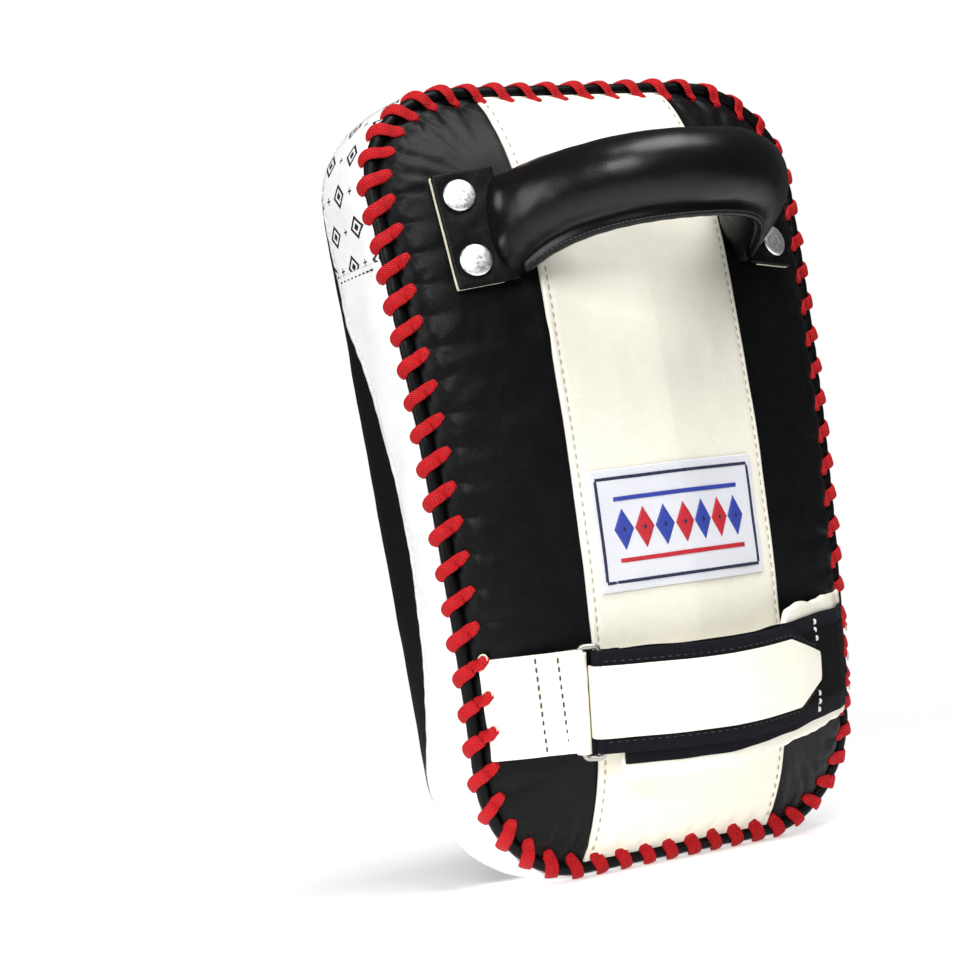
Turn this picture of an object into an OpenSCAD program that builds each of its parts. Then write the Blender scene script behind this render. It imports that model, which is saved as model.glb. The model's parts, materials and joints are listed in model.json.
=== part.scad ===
// Curved striking pad with a hand grip and a forearm strap.
// It stands on its lower end: +Z is its long axis, the grip is on the -Y side,
// and the strike face looks along +Y. The origin is under the middle of the whole pad.
// Shapes are worked out from the welt: y = 0 is the welt's plane at the pad's two ends.

/* [Pad body] */
// Height of the back, over the welt
pad_h = 330; // [320:2:340]
// Width of the back at mid height, over the welt
pad_w = 196; // [196:2:206]
// Share by which the top is wider and the bottom narrower than the middle
pad_taper = 0.08; // [0.04:0.01:0.08]
// Corner radius of the back
corner_r = 46; // [40:1:46]
// Height of the back's crown above the welt
crown_h = 32; // [28:1:34]
// How far the welt bows towards the grip at mid height
edge_bow = 13; // [8:1:15]
// Depth from the welt to the strike face
strike_y = 60; // [56:1:66]
// Rounding of the strike face's edge
strike_round = 30; // [26:1:32]
// Thickness of the leather covers
skin_t = 2.2; // [1.8:0.1:2.4]
// Width of the pale strip down the back
strip_w = 93.6; // [80:0.2:94]
// Depth of the side band at mid height
band_mid = 25; // [20:1:28]
// Depth of the side band at the two ends
band_end = 41; // [36:1:42]
// Height of the band's joins above the middle
band_join_z = 94; // [80:1:100]

/* [Lacing] */
// Number of turns of the lace
lace_count = 74; // [60:1:80]
// Width of the lace
lace_w = 6; // [4:0.5:7]
// Thickness of the lace
lace_t = 1.8; // [1.4:0.2:2.2]
// How far a turn runs along the edge between its two holes
lace_slant = 9.5; // [6:0.5:12]

/* [Grip] */
// Height of the grip's ends above the middle
grip_z = 101; // [98:1:104]
// Radius of the padded roll
roll_r = 14.5; // [13:0.5:15]
// Distance of the roll's ends from the middle
foot_x = 59; // [57:1:60]
// Reach of the grip's arch
arch_y = 111; // [100:1:118]
// Width of the sewn flange beside the roll
flange_w = 4.5; // [4:0.5:9]
// Diameter of the rivet caps
cap_d = 13.5; // [11:0.5:14]
// Distance between the two rivets of one end
rivet_pitch = 27; // [24:1:30]

/* [Forearm strap] */
// Height of the strap's middle below the pad's middle
strap_drop = 95; // [90:1:98]
// Height of the strap and of the anchor tab
strap_h = 42; // [38:1:43]
// Gap between the strap's middle and the back
strap_gap = 14; // [12:1:20]
// Diameter of the ring's wire
wire_d = 2.4; // [2.2:0.2:3.6]
// Distance between the ring's two long bars
ring_pitch = 8; // [7.9:0.1:8.4]

/* [Hidden] */

fit_gap = 0.3;          // clearance between neighbours
half_h = pad_h / 2;
half_w = pad_w / 2;
arc_x = half_w - corner_r;
arc_z = half_h - corner_r;
skin_out = 2.5;         // the side cover's outside, beyond the back's outline
welt_reach = 2.8;       // half the welt's thickness, outwards
welt_deep = 3;          // half its depth, along y
welt_in = skin_out - welt_reach;
filler_share = 0.6;     // the filler cord's share of the welt's thickness
panel_rim = -4.2;       // where the back panels end, inside the outline
strip_half = strip_w / 2;
strip_lift = 0.8;       // the strip lies this much above the panels
band_low = 22;          // the band is shallowest this far below the middle
band_span = 95;
hem = 0.6;              // how far the covers' turned edges run out
lace_proud = 1;         // the lace stands this much out of the band
base_z = half_h + skin_out + lace_proud;

// --- The outline, as points at a distance s along it, anticlockwise seen from the grip side ---

side_len = 2 * arc_z;
end_len = 2 * arc_x;
arc_len = PI / 2 * corner_r;
half_loop = side_len + end_len + 2 * arc_len;

function corner(cx, cz, a) =
    [cx + corner_r * cos(a), cz + corner_r * sin(a), cos(a), sin(a)];
// [x, z, outward x, outward z] at s, before the taper
function rim_at(s) =
    s < 0 ? rim_at(s + 2 * half_loop)
    : s < side_len ? [half_w, s - arc_z, 1, 0]
    : s < side_len + arc_len ? corner(arc_x, arc_z, 90 * (s - side_len) / arc_len)
    : s < side_len + arc_len + end_len ? [arc_x - (s - side_len - arc_len), half_h, 0, 1]
    : s < half_loop ? corner(-arc_x, arc_z, 90 + 90 * (s - half_loop + arc_len) / arc_len)
    : -rim_at(s - half_loop);
function lean(z) = 1 + pad_taper * z / half_h;
// A point d outside the outline, at depth y
function beside(p, d, y) = let (z = p[1] + p[3] * d) [(p[0] + p[2] * d) * lean(z), y, z];

s_right = concat([for (i = [0:8]) (arc_z + band_join_z) * i / 8],
                 [side_len - (arc_z - band_join_z) / 2]);
s_top = concat([for (i = [0:7]) side_len + arc_len * i / 8],
               [for (i = [0:3]) side_len + arc_len + end_len * i / 4],
               [for (i = [0:7]) half_loop - arc_len + arc_len * i / 8]);
s_left = concat([half_loop, half_loop + (arc_z - band_join_z) / 2],
                [for (i = [0:7]) half_loop + (arc_z - band_join_z) + (arc_z + band_join_z) * i / 8]);
s_bottom = [for (s = s_top) s + half_loop];
rim = [for (s = concat(s_right, s_top, s_left, s_bottom)) rim_at(s)];
right_join = 8;
left_join = len(s_right) + len(s_top) + 2;

// --- Surfaces ---

function rim_x(z) =
    (abs(z) <= arc_z ? half_w
     : arc_x + sqrt(max(0, corner_r * corner_r - pow(abs(z) - arc_z, 2)))) * lean(z);
function rim_bow(z) = -edge_bow * (1 - pow(z / half_h, 2));
// The back's surface
function dome(x, z) =
    let (u = min(1, abs(x) / rim_x(z)), v = min(1, abs(z) / half_h))
    rim_bow(z) - crown_h * pow(1 - pow(u, 1.2), 0.53) * pow(1 - pow(v, 6), 1.06);
// Where the side band meets the strike cover
function seam_y(z) =
    rim_bow(z) + band_mid + (band_end - band_mid) * min(1, pow((z + band_low) / band_span, 2));
// How far outside the outline the side cover is at depth y, a distance t under its skin
function side_out(y, t) =
    let (r = strike_round - t, over = min(r, max(0, y - strike_y + strike_round)))
    skin_out - strike_round + sqrt(r * r - over * over);

// --- Solids from lists of points ---

// Rings of equal length, each anticlockwise when seen along the sweep, closed by two caps
module tube(rings) {
    n = len(rings[0]);
    m = len(rings);
    polyhedron(
        points = [for (r = rings) each r],
        faces = concat(
            [[for (i = [n - 1:-1:0]) i]],
            [[for (i = [0:n - 1]) (m - 1) * n + i]],
            [for (k = [0:m - 2], i = [0:n - 1])
                let (j = (i + 1) % n) each [[k * n + i, k * n + j, (k + 1) * n + j],
                                            [k * n + i, (k + 1) * n + j, (k + 1) * n + i]]]));
}

// The same with no ends: the last ring joins the first
module hoop(rings) {
    n = len(rings[0]);
    m = len(rings);
    polyhedron(
        points = [for (r = rings) each r],
        faces = [for (k = [0:m - 1], i = [0:n - 1])
            let (j = (i + 1) % n, l = (k + 1) % m) each [[k * n + i, k * n + j, l * n + j],
                                                         [k * n + i, l * n + j, l * n + i]]]);
}

// A sheet between two grids of points: rows go up, columns go right, a is on the grip side
module sheet(a, b) {
    m = len(a);
    n = len(a[0]);
    h = m * n;
    polyhedron(
        points = concat([for (r = a) each r], [for (r = b) each r]),
        faces = concat(
            [for (i = [0:m - 2], j = [0:n - 2])
                let (p = i * n + j, q = p + n) each [[p, q, q + 1], [p, q + 1, p + 1]]],
            [for (i = [0:m - 2], j = [0:n - 2])
                let (p = h + i * n + j, q = p + n) each [[p, q + 1, q], [p, p + 1, q + 1]]],
            [for (j = [0:n - 2]) each [[j, j + 1, h + j + 1], [j, h + j + 1, h + j]]],
            [for (j = [0:n - 2]) let (p = (m - 1) * n + j)
                each [[p + 1, p, h + p], [p + 1, h + p, h + p + 1]]],
            [for (i = [0:m - 2]) let (p = i * n + n - 1)
                each [[p, p + n, h + p + n], [p, h + p + n, h + p]]],
            [for (i = [0:m - 2]) let (p = i * n)
                each [[p + n, p, h + p], [p + n, h + p, h + p + n]]]));
}

// Places children on the back at (x, z), a lift above it: -Y points off the surface
module on_back(x, z, lift = 0) {
    dx = dome(x + 1, z) - dome(x - 1, z);
    dz = dome(x, z + 1) - dome(x, z - 1);
    n = norm([dx, 2, dz]);
    translate([x, dome(x, z), z])
        rotate([-asin(dz / n), 0, atan(dx / 2)])
            translate([0, -lift, 0]) children();
}

// One stitch along z
module stitch(length, d = 0.8) {
    cube([d, 0.5, length], center = true);
}

// --- The body's covers ---

// Ring of the strike cover, a share f of the way from the band to the face
function cover_ring(f, t) =
    [for (p = rim) let (y0 = seam_y(p[1]) + fit_gap, y = y0 + (strike_y - t - y0) * f)
        beside(p, side_out(y, t), y)];

module strike_cover() {
    steps = 7;
    color("#151517")
        tube(concat([for (k = [steps:-1:0]) cover_ring(sin(90 * k / steps), skin_t)],
                    [for (k = [0:steps]) cover_ring(sin(90 * k / steps), 0)]));
}

function band_section(p) =
    let (ya = rim_bow(p[1]) + welt_deep + fit_gap, yb = seam_y(p[1]), n = 3)
    concat([for (k = [n:-1:0]) let (y = ya + (yb - ya) * k / n) beside(p, side_out(y, 0), y)],
           [for (k = [0:n]) let (y = ya + (yb - ya) * k / n) beside(p, side_out(y, skin_t), y)]);

module side_band_upper() {
    color("#f2f2f2") tube([for (i = [right_join:left_join]) band_section(rim[i])]);
}

module side_band_lower() {
    n = len(rim);
    color("#f4f4f4") tube([for (i = [left_join:n + right_join]) band_section(rim[i % n])]);
}

module band_join_stitching() {
    color("#2a2a2a")
        for (side = [-1, 1], k = [0:4]) {
            y = rim_bow(band_join_z) + welt_deep + 8 + 5 * k;
            translate([side * ((half_w + skin_out) * lean(band_join_z) + 0.7), y, band_join_z + 2])
                rotate([90, 0, 0]) stitch(3);
        }
}

// Rows of the back's right half, from its lower end to its upper end
row_s = concat([for (i = [0:7]) arc_len * (i / 8 - 1)],
               [for (i = [0:8]) side_len * i / 9],
               [for (i = [0:8]) side_len + arc_len * i / 8]);

// Grid of the right back panel, at a depth under its face, with a hem on its three open sides
function panel_grid(d, depth) =
    let (rows = [for (s = row_s) beside(rim_at(s), d, 0)], m = len(rows), columns = 7,
         x0 = strip_half + 0.1)
    [for (i = [-1:m])
        let (r = rows[min(m - 1, max(0, i))], over = i < 0 ? -hem : i == m ? hem : 0)
        [for (j = [0:columns])
            let (x = x0 + (r[0] - x0) * min(columns - 1, j) / (columns - 1),
                 out = j == columns ? hem : 0)
            [x + out, over != 0 || out != 0 ? rim_bow(r[2]) - 0.5 : dome(x, r[2]) + depth,
             r[2] + over]]];

module back_panel() {
    color("#17171a") sheet(panel_grid(panel_rim, 0), panel_grid(panel_rim - skin_t, skin_t));
}

module rivet_holes() {
    for_rivets() rotate([90, 0, 0]) cylinder(d = post_d + 0.4, h = 30, center = true, $fn = 24);
}

module back_panel_right() {
    color("#17171a") difference() {
        back_panel();
        rivet_holes();
    }
}

module back_panel_left() {
    color("#17171a") difference() {
        mirror([1, 0, 0]) back_panel();
        rivet_holes();
    }
}

// Grid of the centre strip, straight-sided, hemmed at its two ends
function strip_grid(d, lift) =
    let (rows = [for (s = row_s) beside(rim_at(s), d, 0)], m = len(rows), columns = 9)
    [for (i = [-1:m])
        let (r = rows[min(m - 1, max(0, i))], over = i < 0 ? -hem : i == m ? hem : 0)
        [for (j = [0:columns - 1]) let (x = strip_half * (2 * j / (columns - 1) - 1))
            [x, over != 0 ? rim_bow(r[2]) - 0.5 : dome(x, r[2]) - lift, r[2] + over]]];

module centre_strip() {
    color("#f3efe0") sheet(strip_grid(panel_rim, strip_lift), strip_grid(panel_rim - skin_t, -skin_t));
}

module centre_strip_stitching() {
    pitch = 6;
    color("#8f8a7c")
        for (side = [-1, 1], k = [-25:25])
            on_back(side * (strip_half - 3.5), k * pitch, strip_lift + 0.4) stitch(3.6);
}

// A hoop round the outline with a rounded section
module rim_hoop(share, grow) {
    hoop([for (p = rim)
        [for (a = [0:45:315])
            beside(p, welt_in + (welt_reach * share - grow) * sin(a),
                   rim_bow(p[1]) + (welt_deep * share - grow) * cos(a))]]);
}

module edge_welt() {
    color("#101012") difference() {
        rim_hoop(1, 0);
        rim_hoop(filler_share, 0);
    }
}

module welt_filler() {
    color("#d8d2c4") rim_hoop(filler_share, 0.2);
}

// Where turn k of the lace starts: the turns lie wider apart along the pad's sides
function lace_at(k) =
    let (u = 2 * half_loop * (k + 0.14) / lace_count) u + 7.5 * sin(360 * (u - 185) / half_loop);

// One turn of the lace: from its hole in the band, over the welt, to its hole in the back
module lace_turn(s) {
    path = [[0, skin_out, 6.5, 1, 0], [0.2, skin_out, 2.5, 1, 0], [0.4, 1.8, -1.6, 0.8, -0.6],
            [0.6, -0.4, -3.2, 0.3, -0.95], [0.8, -5, 0, 0.4, -0.9], [1, -9, 0, 0.3, -0.95]];
    tube([for (q = path)
        let (p = rim_at(s - lace_slant * q[0]), c0 = beside(p, q[1], 0),
             on_surface = q[1] <= -5,
             c = [c0[0], on_surface ? dome(c0[0], c0[2]) : rim_bow(c0[2]) + q[2], c0[2]],
             along = [-p[3], 0, p[2]] * lace_w / 2,
             up = [p[2] * q[3], q[4], p[3] * q[3]] * lace_t / 2)
        [c - along - up, c + along - up, c + along + up, c - along + up]]);
}

module edge_lace() {
    color("#e01a22") for (k = [0:lace_count - 1]) lace_turn(lace_at(k));
}

// --- The foams ---

foam_out = -0.1;        // outside of the middle foams, from the outline

module impact_foam() {
    steps = 5;
    y0 = strike_y - strike_round + fit_gap;
    y1 = strike_y - skin_t - fit_gap;
    color("#3f6f9f")
        tube([for (k = [0:steps]) let (y = y0 + (y1 - y0) * sin(90 * k / steps))
            [for (p = rim) beside(p, side_out(y, skin_t + fit_gap) - 0.6, y)]]);
}

function flat_grid(d, depth, bowed) =
    [for (s = row_s) let (r = beside(rim_at(s), d, 0), y = depth + (bowed ? rim_bow(r[2]) : 0))
        [[-r[0], y, r[2]], [0, y, r[2]], [r[0], y, r[2]]]];

module core_foam() {
    color("#4d4d52")
        sheet(flat_grid(foam_out, welt_deep + fit_gap, true),
              flat_grid(foam_out, strike_y - strike_round, false));
}

function crown_grid(d, sunk, flat) =
    let (columns = 11)
    [for (s = row_s) let (r = beside(rim_at(s), d, 0))
        [for (j = [0:columns - 1]) let (x = r[0] * (2 * j / (columns - 1) - 1))
            [x, flat ? rim_bow(r[2]) + sunk : dome(x, r[2]) + sunk, r[2]]]];

module backing_foam() {
    d = panel_rim - skin_t - fit_gap;
    color("#8fa08a") difference() {
        sheet(crown_grid(d, skin_t + 0.7, false), crown_grid(d, welt_deep, true));
        for_tabs() translate([-14, -2, -27]) cube([28, 10.5, 54]);
    }
}

// --- The grip ---

post_d = 4;
tab_x = 72.7;
tab_w = 20;
tab_h = 48;
rivet_in = 1;           // the rivets, outwards of the tab's middle
tab_lift = 1.2;         // the flat end clears the curved back by this
lining_t = 1.4;
tab_t = 2.4;
tab_top = tab_lift + lining_t + 0.2 + tab_t;

// Children on one of the grip's ends, in its plane, +X outwards
module at_tab(side) {
    on_back(side * tab_x, grip_z) mirror([side < 0 ? 1 : 0, 0, 0]) children();
}

module for_tabs() {
    for (side = [-1, 1]) at_tab(side) children();
}

module for_rivets() {
    for_tabs() for (k = [-1, 1]) translate([rivet_in, 0, k * rivet_pitch / 2]) children();
}

// A plate of thickness t with rounded corners, its underside a lift above the back
module plate(side, x0, x1, h, t, lift) {
    r = 3;
    quarters = [[x1 - r, h / 2 - r, 0], [x0 + r, h / 2 - r, 90],
                [x0 + r, r - h / 2, 180], [x1 - r, r - h / 2, 270]];
    at_tab(side) difference() {
        translate([0, -lift, 0]) rotate([90, 0, 0]) linear_extrude(t)
            polygon([for (c = quarters, a = [0:30:90])
                [c[0] + r * cos(c[2] + a), c[1] + r * sin(c[2] + a)]]);
        for (k = [-1, 1]) translate([rivet_in, 0, k * rivet_pitch / 2]) rotate([90, 0, 0])
            cylinder(d = post_d + 0.3, h = 30, center = true, $fn = 24);
    }
}

module handle_tab(side) {
    color("#141416") plate(side, -tab_w / 2, tab_w / 2, tab_h, tab_t, tab_lift + lining_t + 0.2);
}

module handle_tab_left() { handle_tab(-1); }

module handle_tab_right() { handle_tab(1); }

module tab_lining(side) {
    color("#d9d3c0") plate(side, -tab_w / 2 + 1, tab_w / 2 + 2.5, tab_h, lining_t, tab_lift);
}

module tab_lining_left() { tab_lining(-1); }

module tab_lining_right() { tab_lining(1); }

foot_y = dome(foot_x, grip_z) - 3.5;
arch_x = 45;
roll_rise = 8;

function arch(t) =
    let (u = 1 - t,
         x = -foot_x * u * u * u - 3 * arch_x * u * u * t + 3 * arch_x * u * t * t
             + foot_x * t * t * t,
         y = foot_y * (u * u * u + t * t * t) - 3 * arch_y * u * t,
         z = grip_z + roll_rise * (1 - pow(abs(2 * t - 1), 4)))
    [x, y, z];

function arch_section(t, shrink, sides = 16) =
    let (e = abs(2 * t - 1), d = arch(t + 0.01) - arch(t - 0.01), l = norm([d[0], d[1]]),
         out = [d[1], -d[0], 0] / l,
         thick = roll_r - (roll_r - 3) * pow(e, 10) - shrink,
         tall = roll_r + 7.5 * pow(e, 6) - shrink, c = arch(t))
    [for (i = [0:sides - 1]) let (a = 360 * i / sides)
        c + out * thick * cos(a) + [0, 0, 1] * tall * sin(a)];

// The first and last sections lie on the back
function footed(ring, on) = [for (p = ring) on ? [p[0], dome(p[0], p[2]) - 0.4, p[2]] : p];

function flange_section(t) =
    let (e = abs(2 * t - 1), d = arch(t + 0.01) - arch(t - 0.01), l = norm([d[0], d[1]]),
         out = [d[1], -d[0], 0] / l * 1.8, tall = roll_r + 7.5 * pow(e, 6), c = arch(t),
         top = c - [0, 0, tall - 1.2],
         low = [c[0], c[1], arch(0.5)[2] - roll_r - flange_w - 12 * pow(e, 4)])
    [top + out, top - out, low - out, low + out];

module handle_cover() {
    steps = 22;
    inset = 0.03;
    color("#141416") {
        difference() {
            tube([for (k = [0:steps]) footed(arch_section(k / steps, 0), k == 0 || k == steps)]);
            tube([for (k = [0:steps]) arch_section(inset + (1 - 2 * inset) * k / steps, skin_t)]);
        }
        tube([for (k = [0:steps]) flange_section(0.06 + 0.88 * k / steps)]);
    }
}

module handle_core() {
    steps = 18;
    inset = 0.04;
    color("#b9a98a")
        tube([for (k = [0:steps]) arch_section(inset + (1 - 2 * inset) * k / steps, skin_t + fit_gap, 12)]);
}

module handle_stitching() {
    color("#4a4a50") {
        for (t = [0.17:0.03:0.84]) {
            c = arch(t);
            translate([c[0], c[1], arch(0.5)[2] - roll_r - flange_w + 1.2 - 12 * pow(abs(2 * t - 1), 4)])
                rotate([0, 0, atan2(arch(t + 0.01)[1] - arch(t)[1], arch(t + 0.01)[0] - arch(t)[0])])
                    for (face = [-1, 1]) translate([0, face * 2.4, 0]) rotate([0, 90, 0]) stitch(3);
        }
    }
}

cap_t = 1.6;
washer_in = 6.6;        // depth of the washers below the back's surface

module rivet_caps() {
    color("#c9cacc") for_rivets() translate([0, -tab_top - 0.1, 0]) rotate([90, 0, 0]) {
        cylinder(d = cap_d, h = 0.8, $fn = 48);
        translate([0, 0, 0.8]) cylinder(d1 = cap_d, d2 = cap_d - 3, h = cap_t - 0.8, $fn = 48);
    }
}

module rivet_posts() {
    color("#9fa0a3") for_rivets() translate([0, washer_in + 1.4, 0]) rotate([90, 0, 0])
        cylinder(d = post_d, h = washer_in + 1.4 + tab_top, $fn = 24);
}

module rivet_washers() {
    color("#b9b9bb") for_rivets() translate([0, washer_in + 1, 0]) rotate([90, 0, 0])
        difference() {
            cylinder(d = 10, h = 1, $fn = 36);
            translate([0, 0, -1]) cylinder(d = post_d + 0.2, h = 3, $fn = 24);
        }
}

module rivet_backing_left() { color("#6b6b60") plate(-1, -12, 12, 50, 1.6, -washer_in + 0.2); }

module rivet_backing_right() { color("#6b6b60") plate(1, -12, 12, 50, 1.6, -washer_in + 0.2); }

// --- The label ---

label_x = -1.5;
label_z = -28;
label_w = 79;
label_h = 50;

function label_grid(lift) =
    [for (i = [0:4]) let (z = label_z + label_h * (i / 4 - 0.5))
        [for (j = [0:8]) let (x = label_x + label_w * (j / 8 - 0.5)) [x, dome(x, z) - lift, z]]];

module label_patch() {
    color("#f5f5f7") sheet(label_grid(strip_lift + 1.4), label_grid(strip_lift + 0.5));
}

module label_stitching() {
    w = 73.7;
    h = 42.2;
    lift = strip_lift + 2;
    color("#1c2a5c") {
        for (side = [-1, 1], k = [-9:9])
            on_back(label_x + k * 4, label_z + side * h / 2, lift) rotate([0, 90, 0]) stitch(3);
        for (side = [-1, 1], k = [-5:5]) on_back(label_x + side * w / 2, label_z + k * 4, lift) stitch(3);
    }
}

// --- The forearm strap, in a frame that leans with the back ---

strap_z = -strap_drop;
strap_lean = 9;
strap_half = 88;
lean_pivot = 40;
edge_gap = 1.5;
cuff_t = 4.5;
web_t = 1.6;
turn_r = wire_d / 2 + 0.4;
ring_off = 5.8;         // the ring's wire, above the strap's underside
ring_x = -56;           // the ring's bar in the anchor tab
cuff_x = [-42, 86];
cuff_z = [-31, 25];

module strap_frame() {
    translate([0, -lean_pivot, strap_z]) rotate([strap_lean, 0, 0]) translate([0, lean_pivot, 0])
        children();
}

// Underside of the strap over the back
function strap_y(x) =
    dome(x, strap_z) - edge_gap
    - (strap_gap - edge_gap) * pow(max(0, 1 - pow(x / strap_half, 2)), 2.2);
function strap_off(x) =
    let (g = (strap_y(x + 1) - strap_y(x - 1)) / 2, n = sqrt(1 + g * g)) [g / n, -1 / n];
function strap_pt(x, off) = [x, strap_y(x)] + off * strap_off(x);
function strap_tilt(x) = atan2(strap_off(x)[0], -strap_off(x)[1]);

left_bar = strap_pt(ring_x, ring_off);
ring_way = let (d = strap_pt(ring_x + 6, ring_off) - left_bar) d / norm(d);
right_bar = left_bar + ring_pitch * ring_way;
ring_turn = atan2(ring_way[1], ring_way[0]);

// A layer of the strap from x0 to x1, between two heights above its underside
module layer(x0, x1, o0, o1, z0, z1, steps = 18) {
    xs = [for (i = [0:steps]) x0 + (x1 - x0) * i / steps];
    translate([0, 0, z0]) linear_extrude(z1 - z0)
        polygon(concat([for (x = xs) strap_pt(x, o0)],
                       [for (i = [steps:-1:0]) strap_pt(xs[i], o1)]));
}

module at_bar(c) {
    translate([c[0], c[1], 0]) rotate([0, 0, ring_turn]) children();
}

module anchor_tab() {
    x0 = -87;
    tab = 4;
    steps = 8;
    eye_r = turn_r + 1.7;
    x1 = ring_x - 2.9;  // inside the eye's wall
    xs = [for (i = [0:steps]) x0 + (x1 - x0) * i / steps];
    rise = [for (i = [0:steps]) 0.3 + (ring_off - tab / 2 - 0.3) * i / steps];
    color("#f1ecdc") strap_frame() difference() {
        union() {
            translate([0, 0, -strap_h / 2]) linear_extrude(strap_h)
                polygon(concat([for (i = [0:steps]) strap_pt(xs[i], rise[i])],
                               [for (i = [steps:-1:0]) strap_pt(xs[i], rise[i] + tab)]));
            at_bar(left_bar) cylinder(r = eye_r, h = strap_h, center = true, $fn = 36);
        }
        at_bar(left_bar) cylinder(r = turn_r, h = strap_h + 2, center = true, $fn = 36);
    }
}

module anchor_stitching() {
    color("#5a5a5e") strap_frame()
        for (x = [-71, -63], k = [-6:6]) {
            share = (x + 87) / (ring_x + 87);
            c = strap_pt(x, 4.3 + share * (ring_off - 2.3) + 0.8);
            translate([c[0], c[1], k * 3.2]) rotate([0, 0, strap_tilt(x)]) stitch(2);
        }
}

module strap_ring() {
    reach = strap_h / 2 + 0.5 + wire_d / 2;
    color("#b9b7ae") strap_frame() at_bar(left_bar) {
        for (x = [0, ring_pitch]) translate([x, 0, 0])
            cylinder(d = wire_d, h = 2 * reach, center = true, $fn = 24);
        for (z = [-reach, reach]) translate([0, 0, z]) {
            rotate([0, 90, 0]) cylinder(d = wire_d, h = ring_pitch, $fn = 24);
            for (x = [0, ring_pitch]) translate([x, 0, 0]) sphere(d = wire_d, $fn = 24);
        }
    }
}

module strap_turn() {
    leg = 5;
    color("#16161a") strap_frame() at_bar(right_bar) difference() {
        union() {
            cylinder(r = turn_r + web_t, h = strap_h, center = true, $fn = 36);
            translate([0, turn_r, -strap_h / 2]) cube([leg, web_t, strap_h]);
        }
        cylinder(r = turn_r, h = strap_h + 2, center = true, $fn = 36);
        translate([0, -turn_r - web_t - 1, -strap_h]) cube([20, 2 * turn_r + web_t + 1, 2 * strap_h]);
    }
}

module cuff_cover() {
    inner = [cuff_x[0] + 2, cuff_x[1] - 2];
    color("#f4f2ea") strap_frame() difference() {
        layer(cuff_x[0], cuff_x[1], 0, cuff_t, cuff_z[0], cuff_z[1]);
        layer(inner[0], inner[1], 1.2, cuff_t - 1.2, cuff_z[0] + 2, cuff_z[1] - 2);
    }
}

module cuff_foam() {
    color("#dcdcc8") strap_frame()
        layer(cuff_x[0] + 2.2, cuff_x[1] - 2.2, 1.4, cuff_t - 1.4, cuff_z[0] + 2.2, cuff_z[1] - 2.2);
}

module cuff_loop_tape() {
    color("#101013") strap_frame() layer(cuff_x[0] + 1, 80, cuff_t + 0.2, cuff_t + 1.4, -26.5, 22);
}

module cuff_stitching() {
    color("#f8f8f8") strap_frame()
        for (x = [70, 78], k = [-5:4]) {
            c = strap_pt(x, cuff_t + 1.9);
            translate([c[0], c[1], k * 4.6]) rotate([0, 0, strap_tilt(x)]) stitch(2.8);
        }
}

// The free end's outline in its own plane, with its cut-off corners, an inset inside its edge
module flap_outline(inset, x0) {
    tip = 53;
    top = strap_h / 2 - inset;
    rotate([90, 0, 0]) linear_extrude(120)
        polygon([[x0, -top], [35, -top], [tip - inset, -6], [tip - inset, 6], [31, top], [x0, top]]);
}

flap_x = right_bar[0] + turn_r + web_t + fit_gap;
flap_off = ring_off + turn_r;

module flap_webbing() {
    color("#15151a") strap_frame() intersection() {
        layer(flap_x, 61, flap_off, flap_off + web_t, -strap_h / 2, strap_h / 2);
        flap_outline(0, -60);
    }
}

module flap_facing() {
    color("#f4f0e4") strap_frame() intersection() {
        layer(flap_x, 61, flap_off + web_t + 0.2, flap_off + web_t + 1.6, -strap_h / 2, strap_h / 2);
        translate([0, 0, 0.5]) flap_outline(6.5, -60);
    }
}

module flap_hook_tape() {
    color("#0e0e10") strap_frame() intersection() {
        layer(flap_x + 12, 61, flap_off - 1.1, flap_off - 0.2, -strap_h / 2, strap_h / 2);
        flap_outline(1, -60);
    }
}

module flap_stitching() {
    color("#e6e2d6") strap_frame()
        for (z = [-12, 13], k = [0:13]) {
            x = flap_x + 4 + 5.1 * k;
            c = strap_pt(x, flap_off + web_t + 2.3);
            translate([c[0], c[1], z]) rotate([0, 0, strap_tilt(x)])
                rotate([0, 90, 0]) stitch(3.4);
        }
}

// Moves everything from the welt's plane to the row frame
module placed() {
    apex_y = arch(0.5)[1] - roll_r;
    translate([0, -(strike_y + apex_y) / 2, base_z]) children();
}

placed() strike_cover();
placed() side_band_upper();
placed() side_band_lower();
placed() band_join_stitching();
placed() back_panel_left();
placed() back_panel_right();
placed() centre_strip();
placed() centre_strip_stitching();
placed() edge_welt();
placed() welt_filler();
placed() edge_lace();
placed() impact_foam();
placed() core_foam();
placed() backing_foam();
placed() handle_cover();
placed() handle_core();
placed() handle_tab_left();
placed() handle_tab_right();
placed() tab_lining_left();
placed() tab_lining_right();
placed() handle_stitching();
placed() rivet_caps();
placed() rivet_posts();
placed() rivet_washers();
placed() rivet_backing_left();
placed() rivet_backing_right();
placed() label_patch();
placed() label_stitching();
placed() anchor_tab();
placed() anchor_stitching();
placed() strap_ring();
placed() strap_turn();
placed() cuff_cover();
placed() cuff_foam();
placed() cuff_loop_tape();
placed() cuff_stitching();
placed() flap_webbing();
placed() flap_facing();
placed() flap_hook_tape();
placed() flap_stitching();
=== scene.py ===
"""Looks of a laced, curved thai pad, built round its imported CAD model."""

import json
import math

import bmesh
import bpy
import numpy as np
from mathutils import Matrix, Vector

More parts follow.
